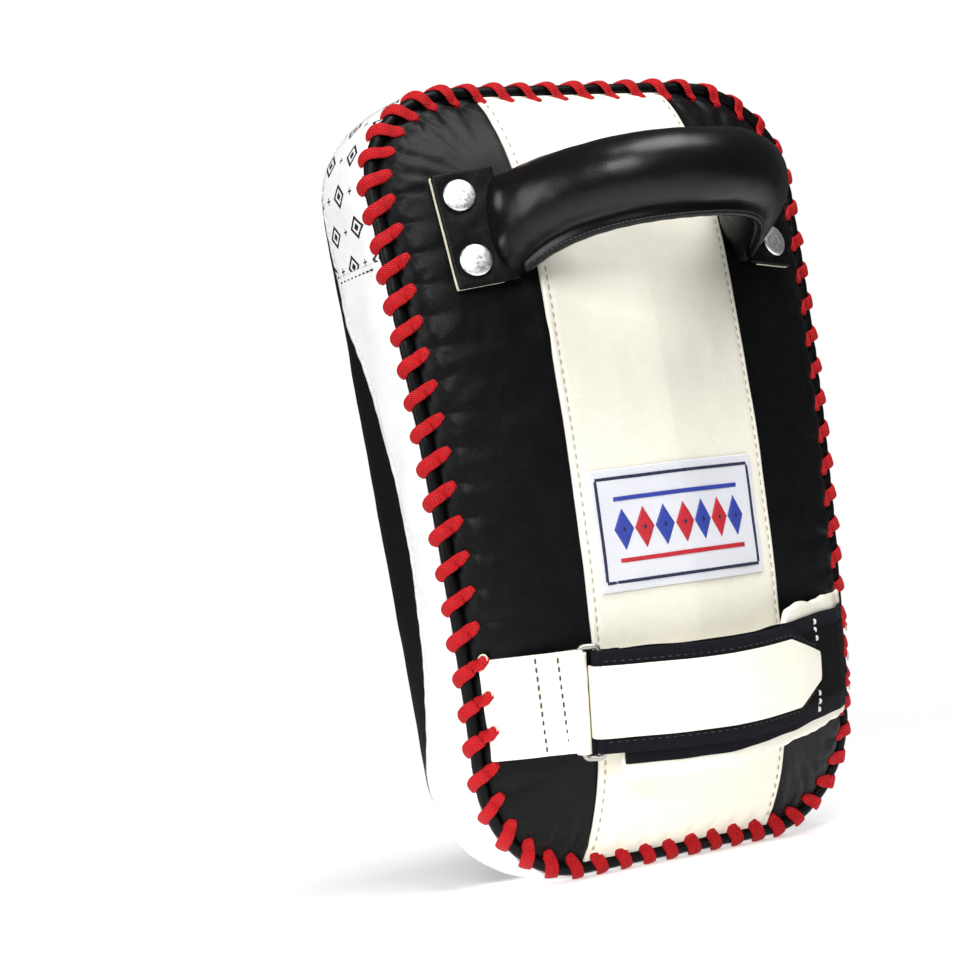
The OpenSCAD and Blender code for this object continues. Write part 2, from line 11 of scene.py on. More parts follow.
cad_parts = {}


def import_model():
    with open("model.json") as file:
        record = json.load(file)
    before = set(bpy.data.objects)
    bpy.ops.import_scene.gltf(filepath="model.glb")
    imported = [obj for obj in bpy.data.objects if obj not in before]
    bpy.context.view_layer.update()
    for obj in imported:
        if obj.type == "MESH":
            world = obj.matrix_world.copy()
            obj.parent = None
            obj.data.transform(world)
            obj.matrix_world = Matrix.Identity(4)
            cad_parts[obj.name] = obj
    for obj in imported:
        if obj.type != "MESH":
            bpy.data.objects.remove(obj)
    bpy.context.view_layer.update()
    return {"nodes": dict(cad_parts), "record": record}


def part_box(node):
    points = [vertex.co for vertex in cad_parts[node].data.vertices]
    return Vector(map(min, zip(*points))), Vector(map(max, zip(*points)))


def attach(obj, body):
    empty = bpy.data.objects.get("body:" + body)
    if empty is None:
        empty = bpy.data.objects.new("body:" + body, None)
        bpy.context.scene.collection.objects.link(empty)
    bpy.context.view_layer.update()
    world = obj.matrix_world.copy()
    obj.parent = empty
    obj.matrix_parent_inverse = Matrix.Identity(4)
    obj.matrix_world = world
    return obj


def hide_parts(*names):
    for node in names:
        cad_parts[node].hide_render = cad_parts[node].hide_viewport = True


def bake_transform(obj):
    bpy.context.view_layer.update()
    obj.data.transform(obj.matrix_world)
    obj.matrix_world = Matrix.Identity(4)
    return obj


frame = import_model()

# ---------------------------------------------------------------- sizes, in mm
# The same driving sizes as the CAD part. y = 0 is the welt's plane at the pad's two ends.
PAD_H, PAD_W, TAPER, CORNER_R = 330.0, 196.0, 0.08, 46.0
CROWN_H, EDGE_BOW = 32.0, 13.0
STRIKE_Y, STRIKE_ROUND = 60.0, 30.0
STRIP_W = 93.6
BAND_MID, BAND_END, BAND_JOIN_Z = 25.0, 41.0, 94.0
BAND_LOW, BAND_SPAN = 22.0, 95.0
SKIN_OUT, WELT_IN, WELT_R, WELT_DEEP = 2.5, -0.9, 2.8, 3.0
LACE_COUNT, LACE_W, LACE_T, LACE_SLANT = 74, 5.7, 1.5, 9.5
LACE_PHASE, LACE_WARP, LACE_WIDEST = 0.14, 7.5, 185.0  # where the turns start, and how they spread
HOLE_IN, HOLE_OUT = -6.9, 3.4  # the lace's holes: inside the outline, and down the band
GRIP_Z, ROLL_R, FOOT_X, ARCH_Y, ARCH_X, ROLL_RISE = 101.0, 14.5, 57.0, 111.0, 41.0, 9.2
FLANGE_LOW = 90.0
TAB_X, TAB_W, TAB_H, TAB_LIFT, LINING_T, TAB_T = 71.7, 20.0, 48.0, 1.2, 1.4, 2.4
TAB_LEAN, CAP_D, RIVET_PITCH, RIVET_IN = 4.5, 13.5, 28.0, 1.0
LABEL_X, LABEL_Z, LABEL_W, LABEL_H = -1.5, -28.0, 79.0, 50.0
STRAP_Z, STRAP_LEAN, LEAN_PIVOT, STRAP_H = -95.0, 9.0, 40.0, 42.0
STRAP_GAP, EDGE_GAP, STRAP_HALF = 14.0, 1.5, 88.0
WIRE_D, RING_PITCH, RING_X, RING_OFF, WEB_T = 2.4, 8.0, -56.0, 5.8, 1.6
ANCHOR_MID, CUFF_MID = -91.1, -94.0  # the middles of the strap's two laced ends
TAB_LEATHER, CUFF_END = 2.4, 4.6  # how thick those ends lie on the back
CUFF_X, CUFF_T, END_IN = -42.0, 4.6, 4.0  # the cuff's left end, and how far in both ends stop
ANCHOR_ROWS = (-70.5, -62.5)  # where the anchor tab is sewn
STRIP_SEW, BAND_SEW = 2.9, 2.6  # how far in from their edges the strip and the band are sewn
STRIP_LIFT = 1.15  # the strip stands this much above the panels
WAVE_COUNT = 18  # how many waves add up to an uneven surface

HALF_H, HALF_W = PAD_H / 2, PAD_W / 2
ARC_X, ARC_Z = HALF_W - CORNER_R, HALF_H - CORNER_R
SIDE_LEN, END_LEN, ARC_LEN = 2 * ARC_Z, 2 * ARC_X, math.pi / 2 * CORNER_R
HALF_LOOP = SIDE_LEN + END_LEN + 2 * ARC_LEN
LACE_STEP = 2 * HALF_LOOP / LACE_COUNT
STRIP_HALF = STRIP_W / 2
PANEL_EDGE = -3.0  # where the back's leather goes under the welt

# Where the welt's plane and the pad's middle lie in the frame
PLANE_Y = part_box("strike_cover")[1][1] * 1000 - STRIKE_Y
BASE_Z = (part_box("strike_cover")[0][2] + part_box("strike_cover")[1][2]) * 500
GROUND = 0.02 - BASE_Z  # the lowest that the bands and the lace go

rng = np.random.default_rng(7)


def smooth(x):
    """0 below 0, 1 above 1, and an even turn between."""
    x = np.clip(x, 0, 1)
    return x * x * (3 - 2 * x)


def unit(v):
    """Vectors made one long."""
    return v / np.maximum(1e-9, np.linalg.norm(v, axis=-1, keepdims=True))


def grid(rows, cols):
    return np.meshgrid(rows, cols, indexing="ij")


def pair(a, b):
    return np.stack([a, b], -1)


def circle(count):
    """Even angles round a circle."""
    return 2 * math.pi * np.arange(count) / count


def waves(p, length, seed):
    """Smooth uneven heights, about -1 to 1, over points p, with bumps of that length in mm."""
    r = np.random.default_rng(seed)
    k = r.normal(size=(WAVE_COUNT, p.shape[-1]))
    k *= (2 * math.pi / length * r.uniform(0.6, 1.4, WAVE_COUNT) / np.linalg.norm(k, axis=1))[:, None]
    phase = r.uniform(0, 2 * math.pi, WAVE_COUNT)
    return np.cos(p @ k.T + phase).sum(-1) / math.sqrt(WAVE_COUNT)


# ---------------------------------------------------------------- the pad's surfaces


def lean(z):
    return 1 + TAPER * z / HALF_H


def rim_at(s):
    """The outline at a distance s along it: x, z, outward x, outward z, before the taper."""
    s = np.mod(np.asarray(s, float), 2 * HALF_LOOP)
    flip = np.where(s >= HALF_LOOP, -1.0, 1.0)
    s = np.where(s >= HALF_LOOP, s - HALF_LOOP, s)
    a1 = np.radians(90 * (s - SIDE_LEN) / ARC_LEN)
    a2 = np.radians(90 + 90 * (s - HALF_LOOP + ARC_LEN) / ARC_LEN)
    cases = [s < SIDE_LEN, s < SIDE_LEN + ARC_LEN, s < SIDE_LEN + ARC_LEN + END_LEN]
    zero, one = np.zeros_like(s), np.ones_like(s)
    x = np.select(cases, [HALF_W * one, ARC_X + CORNER_R * np.cos(a1), ARC_X - (s - SIDE_LEN - ARC_LEN)],
                  -ARC_X + CORNER_R * np.cos(a2))
    z = np.select(cases, [s - ARC_Z, ARC_Z + CORNER_R * np.sin(a1), HALF_H * one],
                  ARC_Z + CORNER_R * np.sin(a2))
    nx = np.select(cases, [one, np.cos(a1), zero], np.cos(a2))
    nz = np.select(cases, [zero, np.sin(a1), one], np.sin(a2))
    return x * flip, z * flip, nx * flip, nz * flip


def beside(s, d, y):
    """A point d outside the outline at s, at depth y."""
    x, z, nx, nz = rim_at(s)
    z = z + nz * d
    x = (x + nx * d) * lean(z)
    return np.stack(np.broadcast_arrays(x, y, z), -1)


def rim_coords(x, z):
    """The distance along the outline and outside it of points on the back."""
    x = x / lean(z)
    qx, qz = np.abs(x) - ARC_X, np.abs(z) - ARC_Z
    corner = (qx > 0) & (qz > 0)
    side = (qx >= qz) & ~corner
    d = np.where(corner, np.hypot(qx, qz), np.maximum(qx, qz)) - CORNER_R
    first = np.where(side, x > 0, z > 0)
    fx, fz = np.where(first, x, -x), np.where(first, z, -z)
    share = np.degrees(np.arctan2(np.maximum(qz, 1e-9), np.maximum(qx, 1e-9))) / 90
    s = np.where(side, fz + ARC_Z,
                 np.where(corner, np.where(fx > 0, SIDE_LEN + ARC_LEN * share,
                                           SIDE_LEN + ARC_LEN + END_LEN + ARC_LEN * (1 - share)),
                          SIDE_LEN + ARC_LEN + ARC_X - fx))
    return np.where(first, s, s + HALF_LOOP), d


def rim_x(z):
    over = np.maximum(0, np.abs(z) - ARC_Z)
    return np.where(over > 0, ARC_X + np.sqrt(np.maximum(0, CORNER_R**2 - over**2)), HALF_W) * lean(z)


def rim_bow(z):
    return -EDGE_BOW * (1 - (z / HALF_H) ** 2)


def dome(x, z):
    """The back's surface."""
    u = np.minimum(1, np.abs(x) / rim_x(z))
    v = np.minimum(1, np.abs(z) / HALF_H)
    return rim_bow(z) - CROWN_H * (1 - u**1.2) ** 0.53 * (1 - v**6) ** 1.06


def seam_y(z):
    """Where the side band meets the strike cover."""
    return rim_bow(z) + BAND_MID + (BAND_END - BAND_MID) * np.minimum(1, ((z + BAND_LOW) / BAND_SPAN) ** 2)


def side_out(y):
    """How far outside the outline the side cover is at depth y."""
    over = np.clip(y - STRIKE_Y + STRIKE_ROUND, 0, STRIKE_ROUND)
    return SKIN_OUT - STRIKE_ROUND + np.sqrt(STRIKE_ROUND**2 - over**2)


def lace_at(k):
    """Where the turn k of the lace starts, along the outline: hand-laced, so not quite even."""
    u = LACE_STEP * (k + LACE_PHASE)
    return u + LACE_WARP * np.sin(2 * math.pi * (u - LACE_WIDEST) / HALF_LOOP)


def lace_turn(s):
    """The turn at a distance s along the outline, as a number with a fraction."""
    u = s
    for _ in range(5):
        u = s - LACE_WARP * np.sin(2 * math.pi * (u - LACE_WIDEST) / HALF_LOOP)
    return u / LACE_STEP - LACE_PHASE


HOLE_SIZE = rng.uniform(0.75, 1.3, LACE_COUNT)
HOLE_SPIN = rng.uniform(0, 2 * math.pi, LACE_COUNT)
HOLE_FOLDS = rng.integers(4, 8, LACE_COUNT)


def pucker(x, z, soft=1.0):
    """How far the lace pulls the back's leather in: dimples at the holes and creases from them."""
    s, d = rim_coords(x, z)
    turn = lace_turn(s + LACE_SLANT)
    nearest = np.round(turn)
    between = 0.5 - 0.5 * np.cos(2 * math.pi * turn)
    sunk = -0.55 * soft * between * np.exp(-np.maximum(HOLE_IN - d, 0) / 11)
    for step in (-1, 0, 1):
        k = (nearest + step).astype(int)
        ds = s - (lace_at(k) - LACE_SLANT)
        t = HOLE_IN - d
        k = k % LACE_COUNT
        r, a = np.hypot(ds, t), np.arctan2(ds, t)
        near = np.exp(-((r / 3.0) ** 2))
        valley = np.exp(-((ds / (1.5 + 0.09 * np.maximum(t, 0))) ** 2)) * np.exp(-np.maximum(t, 0) / 8)
        rays = np.cos(HOLE_FOLDS[k] * a + HOLE_SPIN[k]) * np.exp(-r / 7.5) * (1 - np.exp(-r / 2))
        edge = np.exp(-((ds / 3.2) ** 2)) * (t < 0)
        folds = soft * (0.55 * valley * (t >= 0) + 0.3 * rays)
        sunk = sunk + HOLE_SIZE[k] * (0.6 * near + folds + 0.6 * edge * (1 - near))
    return sunk * smooth((d + 46) / 20)


def back_y(x, z, soft=1.0, seed=3, pull=1.0):
    """The finished back: the crowned surface, rolled down to the welt, with its puckers and lumps."""
    _, d = rim_coords(x, z)
    turn = np.clip((PANEL_EDGE - d) / 7.5, 0, 1)
    roll = np.sqrt(np.maximum(0, 1 - (1 - turn) ** 2))
    low = rim_bow(z) - 0.6
    p = pair(x, z)
    lumps = 0.35 * waves(p, 70, seed) + 0.14 * soft * waves(p, 20, seed + 1)
    lumps = lumps + 0.10 * soft * waves(p, 9, seed + 2) * smooth((d + 40) / 25)
    y = low + (dome(x, z) - low) * roll
    return y + (pull * pucker(x, z, soft) - lumps) * smooth(turn * 1.5)


def strip_y(x, z):
    """The same under the centre strip, which is calmer."""
    return back_y(x, z, 0.75, 23)


def tab_y(x, z):
    """The same under a strap's laced end, which is calmer still."""
    return back_y(x, z, 0.0, pull=0.25)


# ---------------------------------------------------------------- meshes


def new_object(name, verts, faces, uv=None, body="root"):
    """A piece from points in mm, on a CAD body."""
    verts = np.asarray(verts, float).reshape(-1, 3)
    mesh = bpy.data.meshes.new(name)
    mesh.from_pydata(((verts + [0, PLANE_Y, BASE_Z]) / 1000).tolist(), [], [list(f) for f in faces])
    if uv is not None:
        uv = np.asarray(uv, float).reshape(-1, 2)
        layer = mesh.uv_layers.new(name="UVMap")
        loops = np.empty(len(mesh.loops), dtype=np.int32)
        mesh.loops.foreach_get("vertex_index", loops)
        layer.data.foreach_set("uv", uv[loops].astype(np.float32).ravel())
    mesh.polygons.foreach_set("use_smooth", [True] * len(mesh.polygons))
    whole = bmesh.new()
    whole.from_mesh(mesh)
    bmesh.ops.recalc_face_normals(whole, faces=whole.faces)
    whole.to_mesh(mesh)
    whole.free()
    ob = bpy.data.objects.new(name, mesh)
    bpy.context.collection.objects.link(ob)
    if body:
        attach(ob, body)
    return ob


def grid_faces(m, n, wrap_m=False, wrap_n=False, base=0, flip=False):
    i, j = grid(np.arange(m - (not wrap_m)), np.arange(n - (not wrap_n)))
    i2, j2 = (i + 1) % m, (j + 1) % n
    f = np.stack([i * n + j, i * n + j2, i2 * n + j2, i2 * n + j], -1).reshape(-1, 4) + base
    return f[:, ::-1] if flip else f


def sheet_faces(m, n, wrap=False, flip=False):
    """The faces of a closed sheet: a grid, one behind it, and the strips that join their rims."""
    h, last, top = m * n, n - 1, (m - 1) * n
    rows, cols = np.arange(m if wrap else m - 1), np.arange(n - 1)
    ahead = (rows + 1) % m
    strips = [(rows * n, ahead * n), (ahead * n + last, rows * n + last)]
    if not wrap:
        strips += [(cols + 1, cols), (top + cols, top + cols + 1)]
    edges = [np.stack([a, b, b + h, a + h], -1) for a, b in strips]
    return np.concatenate([grid_faces(m, n, wrap, flip=flip), grid_faces(m, n, wrap, base=h, flip=not flip)]
                          + [e[:, ::-1] if flip else e for e in edges])


def grid_normals(p):
    """Unit normals of a grid of points, towards its rows' turn into its columns."""
    return unit(np.cross(np.gradient(p, axis=0), np.gradient(p, axis=1)))


def shell(name, p, thick, uv, wrap=False, flip=False):
    """A closed sheet: a grid of points for its face, and one behind it. One that wraps closes to a point."""
    normals = grid_normals(p) * (-1 if flip else 1)
    if wrap:
        normals[0] = normals[-1] = (normals[0] + normals[-1]) / 2
        normals = unit(normals)
        normals[:, -4:] = unit(normals[:, -5].mean(0))
        p, normals, uv = p[:-1], normals[:-1], uv[:-1]
    verts = np.concatenate([p.reshape(-1, 3), (p - normals * thick).reshape(-1, 3)])
    uv = np.concatenate([uv.reshape(-1, 2)] * 2)
    return new_object(name, verts, sheet_faces(*p.shape[:2], wrap, flip), uv)


def soft_plate(name, p, normals, thick, round_r, uv, body="root"):
    """A closed plate over a grid p of its middle layer, with rounded edges all round."""
    m, n = p.shape[:2]
    rim = ([(0, j) for j in range(n)] + [(i, n - 1) for i in range(1, m)]
           + [(m - 1, j) for j in range(n - 2, -1, -1)] + [(i, 0) for i in range(m - 2, 0, -1)])
    i, j = np.array(rim).T
    du, dv = unit(np.gradient(p, axis=0))[i, j], unit(np.gradient(p, axis=1))[i, j]
    out = unit(du * (1.0 * (i == m - 1) - (i == 0))[:, None] + dv * (1.0 * (j == n - 1) - (j == 0))[:, None])
    h = thick / 2
    verts = [(p + normals * h).reshape(-1, 3), (p - normals * h).reshape(-1, 3)]
    rings = [i * n + j]
    for k in range(1, 6):
        a = math.pi / 2 - math.pi * k / 6
        verts.append(p[i, j] + normals[i, j] * h * math.sin(a) + out * round_r * math.cos(a))
        rings.append(2 * m * n + (k - 1) * len(rim) + np.arange(len(rim)))
    rings.append(rings[0] + m * n)
    faces = [grid_faces(m, n), grid_faces(m, n, base=m * n, flip=True)]
    faces += [np.stack([a, b, np.roll(b, -1), np.roll(a, -1)], -1) for a, b in zip(rings[:-1], rings[1:])]
    uv = np.concatenate([uv.reshape(-1, 2)] * 2 + [uv[i, j]] * 5)
    return new_object(name, np.concatenate(verts), np.concatenate(faces), uv, body)


def sweep(rings, closed=False):
    """Points and faces of a tube through rings of points, capped unless it is closed."""
    rings = np.asarray(rings, float)
    m, n = rings.shape[:2]
    faces = [tuple(f) for f in grid_faces(m, n, closed, True)]
    if not closed:
        faces.append(tuple(range(n - 1, -1, -1)))
        faces.append(tuple((m - 1) * n + i for i in range(n)))
    return rings.reshape(-1, 3), faces


class Parts:
    """Gathers many small solids into one mesh."""

    def __init__(self):
        self.verts, self.faces, self.uv, self.count = [], [], [], 0

    def add(self, verts, faces, uv=None):
        self.faces += [tuple(int(i) + self.count for i in f) for f in faces]
        self.verts.append(np.asarray(verts).reshape(-1, 3))
        self.uv.append(np.zeros((len(self.verts[-1]), 2)) if uv is None else np.asarray(uv).reshape(-1, 2))
        self.count += len(self.verts[-1])

    def build(self, name, body="root"):
        return new_object(name, np.concatenate(self.verts), self.faces, np.concatenate(self.uv), body)


def stitch(parts, at, along, up, length, width, proud):
    """One sewn stitch: a thread that comes out of the leather and goes back in."""
    across = np.cross(along, up)
    rings = []
    for t in np.linspace(-1, 1, 7):
        c = at + along * (length / 2 * t) + up * (proud - width * 0.9 * t**4)
        r = width / 2 * (1 - 0.35 * abs(t) ** 3)
        rings.append([c + (across * math.cos(a) + up * math.sin(a)) * r for a in circle(6)])
    parts.add(*sweep(rings))


# ---------------------------------------------------------------- materials

MATS = {}
GRAIN = 0.0007  # the size of the leather's pebbles, in m


def principled(name, color, rough, **sockets):
    """A new material, kept by its name: its tree, its shader and the object's coordinates."""
    MATS[name] = mat = bpy.data.materials.new(name)
    mat.use_nodes = True
    tree = mat.node_tree
    shader = tree.nodes["Principled BSDF"]
    shader.inputs["Base Color"].default_value = (*color, 1)
    shader.inputs["Roughness"].default_value = rough
    for key, value in sockets.items():
        shader.inputs[key.replace("_", " ")].default_value = value
    return tree, shader, tree.nodes.new("ShaderNodeTexCoord").outputs["Object"]


def node(tree, kind, inputs=None, **settings):
    """A shader node, with its settings and its inputs: values, or sockets to link."""
    made = tree.nodes.new("ShaderNode" + kind)
    for key, value in settings.items():
        setattr(made, key, value)
    for key, value in (inputs or {}).items():
        if isinstance(value, bpy.types.NodeSocket):
            tree.links.new(value, made.inputs[key])
        else:
            made.inputs[key].default_value = value
    return made


def calc(tree, kind, *values):
    """The result of one step of arithmetic."""
    return node(tree, "Math", dict(enumerate(values)), operation=kind).outputs[0]


def noise(tree, where, scale, detail, **more):
    inputs = {"Vector": where, "Scale": scale, "Detail": detail, **more}
    return node(tree, "TexNoise", inputs).outputs["Fac"]


def uv_axes(tree):
    uv = node(tree, "UVMap", uv_map="UVMap").outputs["UV"]
    return node(tree, "SeparateXYZ", {"Vector": uv}).outputs


def ramp(tree, value, low, high, to_low=0.0, to_high=1.0):
    """value from low..high to to_low..to_high, as a number."""
    ends = {"From Min": low, "From Max": high, "To Min": to_low, "To Max": to_high}
    return node(tree, "MapRange", {"Value": value, **ends}).outputs["Result"]


def mix_color(tree, factor, a, b):
    return node(tree, "Mix", {0: factor, 6: a, 7: b}, data_type="RGBA").outputs[2]


def relief(tree, shader, depth, height, **more):
    """Gives the shader the normals of a relief, and returns them."""
    made = node(tree, "Bump", {"Strength": 1.0, "Distance": depth, "Height": height, **more})
    tree.links.new(made.outputs["Normal"], shader.inputs["Normal"])
    return made.outputs["Normal"]


def shade(tree, shader, value, low, high, dark, color):
    """Gives the shader the dark colour where the value is low, and the other where it is high."""
    mixed = mix_color(tree, ramp(tree, value, low, high), (*dark, 1), (*color, 1))
    tree.links.new(mixed, shader.inputs["Base Color"])


def leather(name, color, dark, rough, depth=0.00005, crease=0.00018, **sockets):
    """Finished cowhide: pebbled grain, fine creases and uneven gloss, with painted shade: the colour darkens
    where the creases' relief runs low.
    """
    tree, shader, where = principled(name, color, rough[0], **sockets)
    pebbles = node(tree, "TexVoronoi", {"Vector": where, "Scale": 1 / GRAIN / 2}, feature="DISTANCE_TO_EDGE")
    cells = ramp(tree, pebbles.outputs["Distance"], 0.0, 0.28)
    fine = calc(tree, "MULTIPLY", cells, noise(tree, where, 1 / GRAIN / 1.3, 3.0))
    folds = noise(tree, where, 170.0, 4.0, Roughness=0.62, Distortion=0.6)
    relief(tree, shader, crease, folds, Normal=relief(tree, shader, depth, fine))
    gloss = ramp(tree, noise(tree, where, 22.0, 3.0), 0.3, 0.7, *rough)
    tree.links.new(gloss, shader.inputs["Roughness"])
    # painted shade: the colour goes to the dark one where the crease relief is low
    shade(tree, shader, folds, 0.35, 0.7, dark, color)
    return tree, shader


def printed_leather(name, color, ink, dark):
    """White leather with a printed pattern: staggered diamonds with a bar, and small crosses between."""
    tree, shader = leather(name, color, dark, (0.24, 0.36), crease=0.00012)
    axes = uv_axes(tree)
    across, along = 30.0, 21.0  # how far apart the marks are

    def away(axis, shift, pitch):
        """The distance along an axis from the middle of the nearest mark."""
        turn = calc(tree, "FLOORED_MODULO", calc(tree, "ADD", axes[axis], shift), pitch)
        return calc(tree, "ABSOLUTE", calc(tree, "SUBTRACT", turn, pitch / 2))

    def inside(value, limit):
        return calc(tree, "LESS_THAN", value, limit)

    total = 0.0
    for shift in (0.0, 0.5):
        ax, ay = away("X", shift * across, across), away("Y", shift * along, along)
        lozenge = calc(tree, "ADD", ax, ay)
        rim = calc(tree, "MULTIPLY", inside(lozenge, 5.2), calc(tree, "GREATER_THAN", lozenge, 3.4))
        ax = away("X", (shift + 0.5) * across, across)
        cross = calc(tree, "MULTIPLY", inside(calc(tree, "MINIMUM", ax, ay), 0.35),
                     inside(calc(tree, "ADD", ax, ay), 1.7))
        for mark in (rim, inside(lozenge, 1.9), cross):
            total = calc(tree, "MAXIMUM", total, mark)
    # the unprinted colour, which carries the painted crease shade
    plain = shader.inputs["Base Color"].links[0].from_socket
    tree.links.new(mix_color(tree, total, plain, (*ink, 1)), shader.inputs["Base Color"])


def woven(name, color, dark, pitch, rough, depth=0.00012, ribs=(1, 1), **sockets):
    """Cloth from two crossing sets of threads, from UVs in mm, with painted shade: darker where the threads
    and a fine noise run low.
    """
    tree, shader, where = principled(name, color, rough, **sockets)
    axes = uv_axes(tree)
    sets = [calc(tree, "SINE", calc(tree, "MULTIPLY", axes[axis], 2 * math.pi * rate / pitch))
            for axis, rate in zip("XY", ribs)]
    height = calc(tree, "ADD", calc(tree, "MULTIPLY", *sets), noise(tree, where, 2500.0, 2.0))
    relief(tree, shader, depth, height)
    # painted shade: the colour darkens where the weave's relief is low
    shade(tree, shader, height, -0.6, 1.4, dark, color)


def braid(name, color, dark):
    """A flat braided lace: V-shaped plaits across its width, from UVs in mm, with painted shade in the
    grooves between them.
    """
    tree, shader, where = principled(name, color, 0.62, Specular_IOR_Level=0.25)
    axes = uv_axes(tree)
    plait = calc(tree, "MULTIPLY_ADD", calc(tree, "ABSOLUTE", axes["X"]), 1.1, axes["Y"])
    wave = calc(tree, "SINE", calc(tree, "MULTIPLY", plait, 2 * math.pi / 1.15))
    lines = calc(tree, "COSINE", calc(tree, "MULTIPLY", axes["X"], 2 * math.pi))
    both = calc(tree, "MULTIPLY_ADD", lines, 0.45, wave)
    height = calc(tree, "ADD", both, noise(tree, where, 1800.0, 3.0))
    relief(tree, shader, 0.00016, height)
    # painted shade: the colour darkens where the plait relief is low
    shade(tree, shader, height, -0.9, 1.2, dark, color)


def metal(name, color, rough, scratch):
    tree, shader, where = principled(name, color, rough, Metallic=1.0)
    marks = noise(tree, where, 900.0, 5.0)
    tree.links.new(ramp(tree, marks, 0.3, 0.7, rough * 0.75, rough * 1.4), shader.inputs["Roughness"])
    relief(tree, shader, scratch, marks)


def thread(name, color, dark):
    tree, shader, where = principled(name, color, 0.6)
    shade(tree, shader, noise(tree, where, 2600.0, 1.0), 0.4, 0.6, dark, color)


def foam(name, color, dark):
    tree, shader, where = principled(name, color, 0.9)
    cells = node(tree, "TexVoronoi", {"Vector": where, "Scale": 900.0})
    shade(tree, shader, cells.outputs["Distance"], 0.0, 0.6, dark, color)


# For the leathers, the second colour is painted shade in the low parts of their crease relief
leather("black_leather", (0.0036, 0.0038, 0.0044), (0.002, 0.0021, 0.0025), (0.38, 0.46),
        Specular_IOR_Level=0.13)
leather("grip_leather", (0.0034, 0.0036, 0.0042), (0.0024, 0.0025, 0.003), (0.27, 0.34),
        depth=0.00003, crease=0.00005, Specular_IOR_Level=0.3)
leather("white_leather", (0.88, 0.88, 0.875), (0.84, 0.84, 0.835), (0.25, 0.38), crease=0.0001)
leather("cream_leather", (0.9, 0.875, 0.77), (0.865, 0.835, 0.72), (0.3, 0.42), crease=0.00012)
leather("raw_leather", (0.74, 0.7, 0.58), (0.58, 0.52, 0.4), (0.7, 0.85), crease=0.0003)
printed_leather("white_printed_leather", (0.88, 0.88, 0.875), (0.015, 0.015, 0.02), (0.84, 0.84, 0.835))
# The lace's second colour is painted shade in the grooves of its braid
braid("red_lace", (0.66, 0.006, 0.011), (0.27, 0.002, 0.005))
# For the tapes and the label cloth, the second colour is painted shade where the weave dips
woven("black_tape", (0.0055, 0.006, 0.011), (0.002, 0.002, 0.004), 0.9, 0.9, Specular_IOR_Level=0.2)
woven("loop_tape", (0.004, 0.004, 0.006), (0.0015, 0.0015, 0.002), 0.6, 1.0, 0.0003, Specular_IOR_Level=0.15)
woven("label_cloth", (0.88, 0.89, 0.93), (0.76, 0.77, 0.84), 0.5, 0.42, 0.00005, (2, 1))
thread("navy_thread", (0.012, 0.016, 0.07), (0.006, 0.008, 0.03))
thread("crimson_thread", (0.6, 0.015, 0.03), (0.35, 0.008, 0.015))
thread("blue_thread", (0.03, 0.06, 0.42), (0.015, 0.03, 0.22))
thread("light_thread", (0.86, 0.85, 0.8), (0.7, 0.68, 0.6))
thread("tan_thread", (0.5, 0.47, 0.38), (0.33, 0.3, 0.23))
thread("black_thread", (0.022, 0.022, 0.028), (0.01, 0.01, 0.013))
thread("dark_thread", (0.05, 0.05, 0.055), (0.02, 0.02, 0.022))
metal("nickel", (0.95, 0.95, 0.95), 0.4, 0.000002)
metal("steel_wire", (0.4, 0.39, 0.36), 0.35, 0.00003)
foam("soft_foam", (0.16, 0.3, 0.48), (0.1, 0.2, 0.34))
foam("firm_foam", (0.12, 0.12, 0.13), (0.07, 0.07, 0.08))
foam("felt", (0.5, 0.47, 0.4), (0.36, 0.33, 0.28))


def finish_piece(ob, mat, *stands_for, slot=None):
    """Gives a piece its material, and hides the CAD nodes that it stands for."""
    ob.data.materials.clear()
    ob.data.materials.append(MATS[mat])
    slot = slot or mat
    if stands_for:
        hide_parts(*stands_for)


# CAD nodes that stay as they are take the finish of their slot
for part in frame["record"]["subparts"]:
    kept = frame["nodes"][part["node"]]
    kept.data.materials.clear()
    kept.data.materials.append(MATS[part["material_slot"]])


# ---------------------------------------------------------------- the back


def rows_of_half(count_arc):
    """Distances along the outline's right half, from its lower end to its upper end."""
    return np.concatenate([np.linspace(-ARC_LEN, 0, count_arc, endpoint=False),
                           np.linspace(0, SIDE_LEN, 230, endpoint=False),
                           np.linspace(SIDE_LEN, SIDE_LEN + ARC_LEN, count_arc)])


def back_panel(side, word, seed):
    """One black side panel: from under the centre strip to under the welt."""
    rim = beside(rows_of_half(70), PANEL_EDGE, 0.0)
    x0 = STRIP_HALF - 2.5
    share = np.linspace(0, 1, 70) ** 0.8
    x = side * (x0 + (rim[:, :1] - x0) * share)
    z = np.repeat(rim[:, 2:], len(share), 1)
    tuck = smooth((STRIP_HALF + 1.5 - np.abs(x)) / 3) * 0.5
    p = np.stack([x, back_y(x, z, seed=seed) + tuck, z], -1)
    ob = shell(f"panel_leather_{word}", p, 1.8, pair(x, z), flip=side > 0)
    finish_piece(ob, "black_leather", f"back_panel_{word}")


def centre_strip():
    """The pale strip down the back, with a turned edge and a sewn groove on each side."""
    t = np.linspace(-1, 1, 121)
    across = np.sign(t) * (1 - (1 - np.abs(t)) ** 1.15) * STRIP_HALF
    z, x = grid(beside(rows_of_half(60), PANEL_EDGE, 0.0)[:, 2], across)
    edge = np.sqrt(np.clip((STRIP_HALF - np.abs(x)) / 1.1, 0, 1))
    groove = np.exp(-(((np.abs(x) - STRIP_HALF + STRIP_SEW) / 0.9) ** 2))
    p = np.stack([x, strip_y(x, z) - STRIP_LIFT * edge + 0.32 * groove, z], -1)
    ob = shell("strip_leather", p, 1.3, pair(x, z), flip=True)
    finish_piece(ob, "cream_leather", "centre_strip")


def frame_at(height, x, z, e):
    """Right, up and off a surface at (x, z), and the mean of four points e beside it."""
    ends = [np.array([x + a, float(height(np.array(x + a), np.array(z + b))), z + b])
            for a, b in ((e, 0), (-e, 0), (0, e), (0, -e))]
    right, up = unit(ends[0] - ends[1]), unit(ends[2] - ends[3])
    return right, up, unit(np.cross(right, up)), sum(ends) / 4


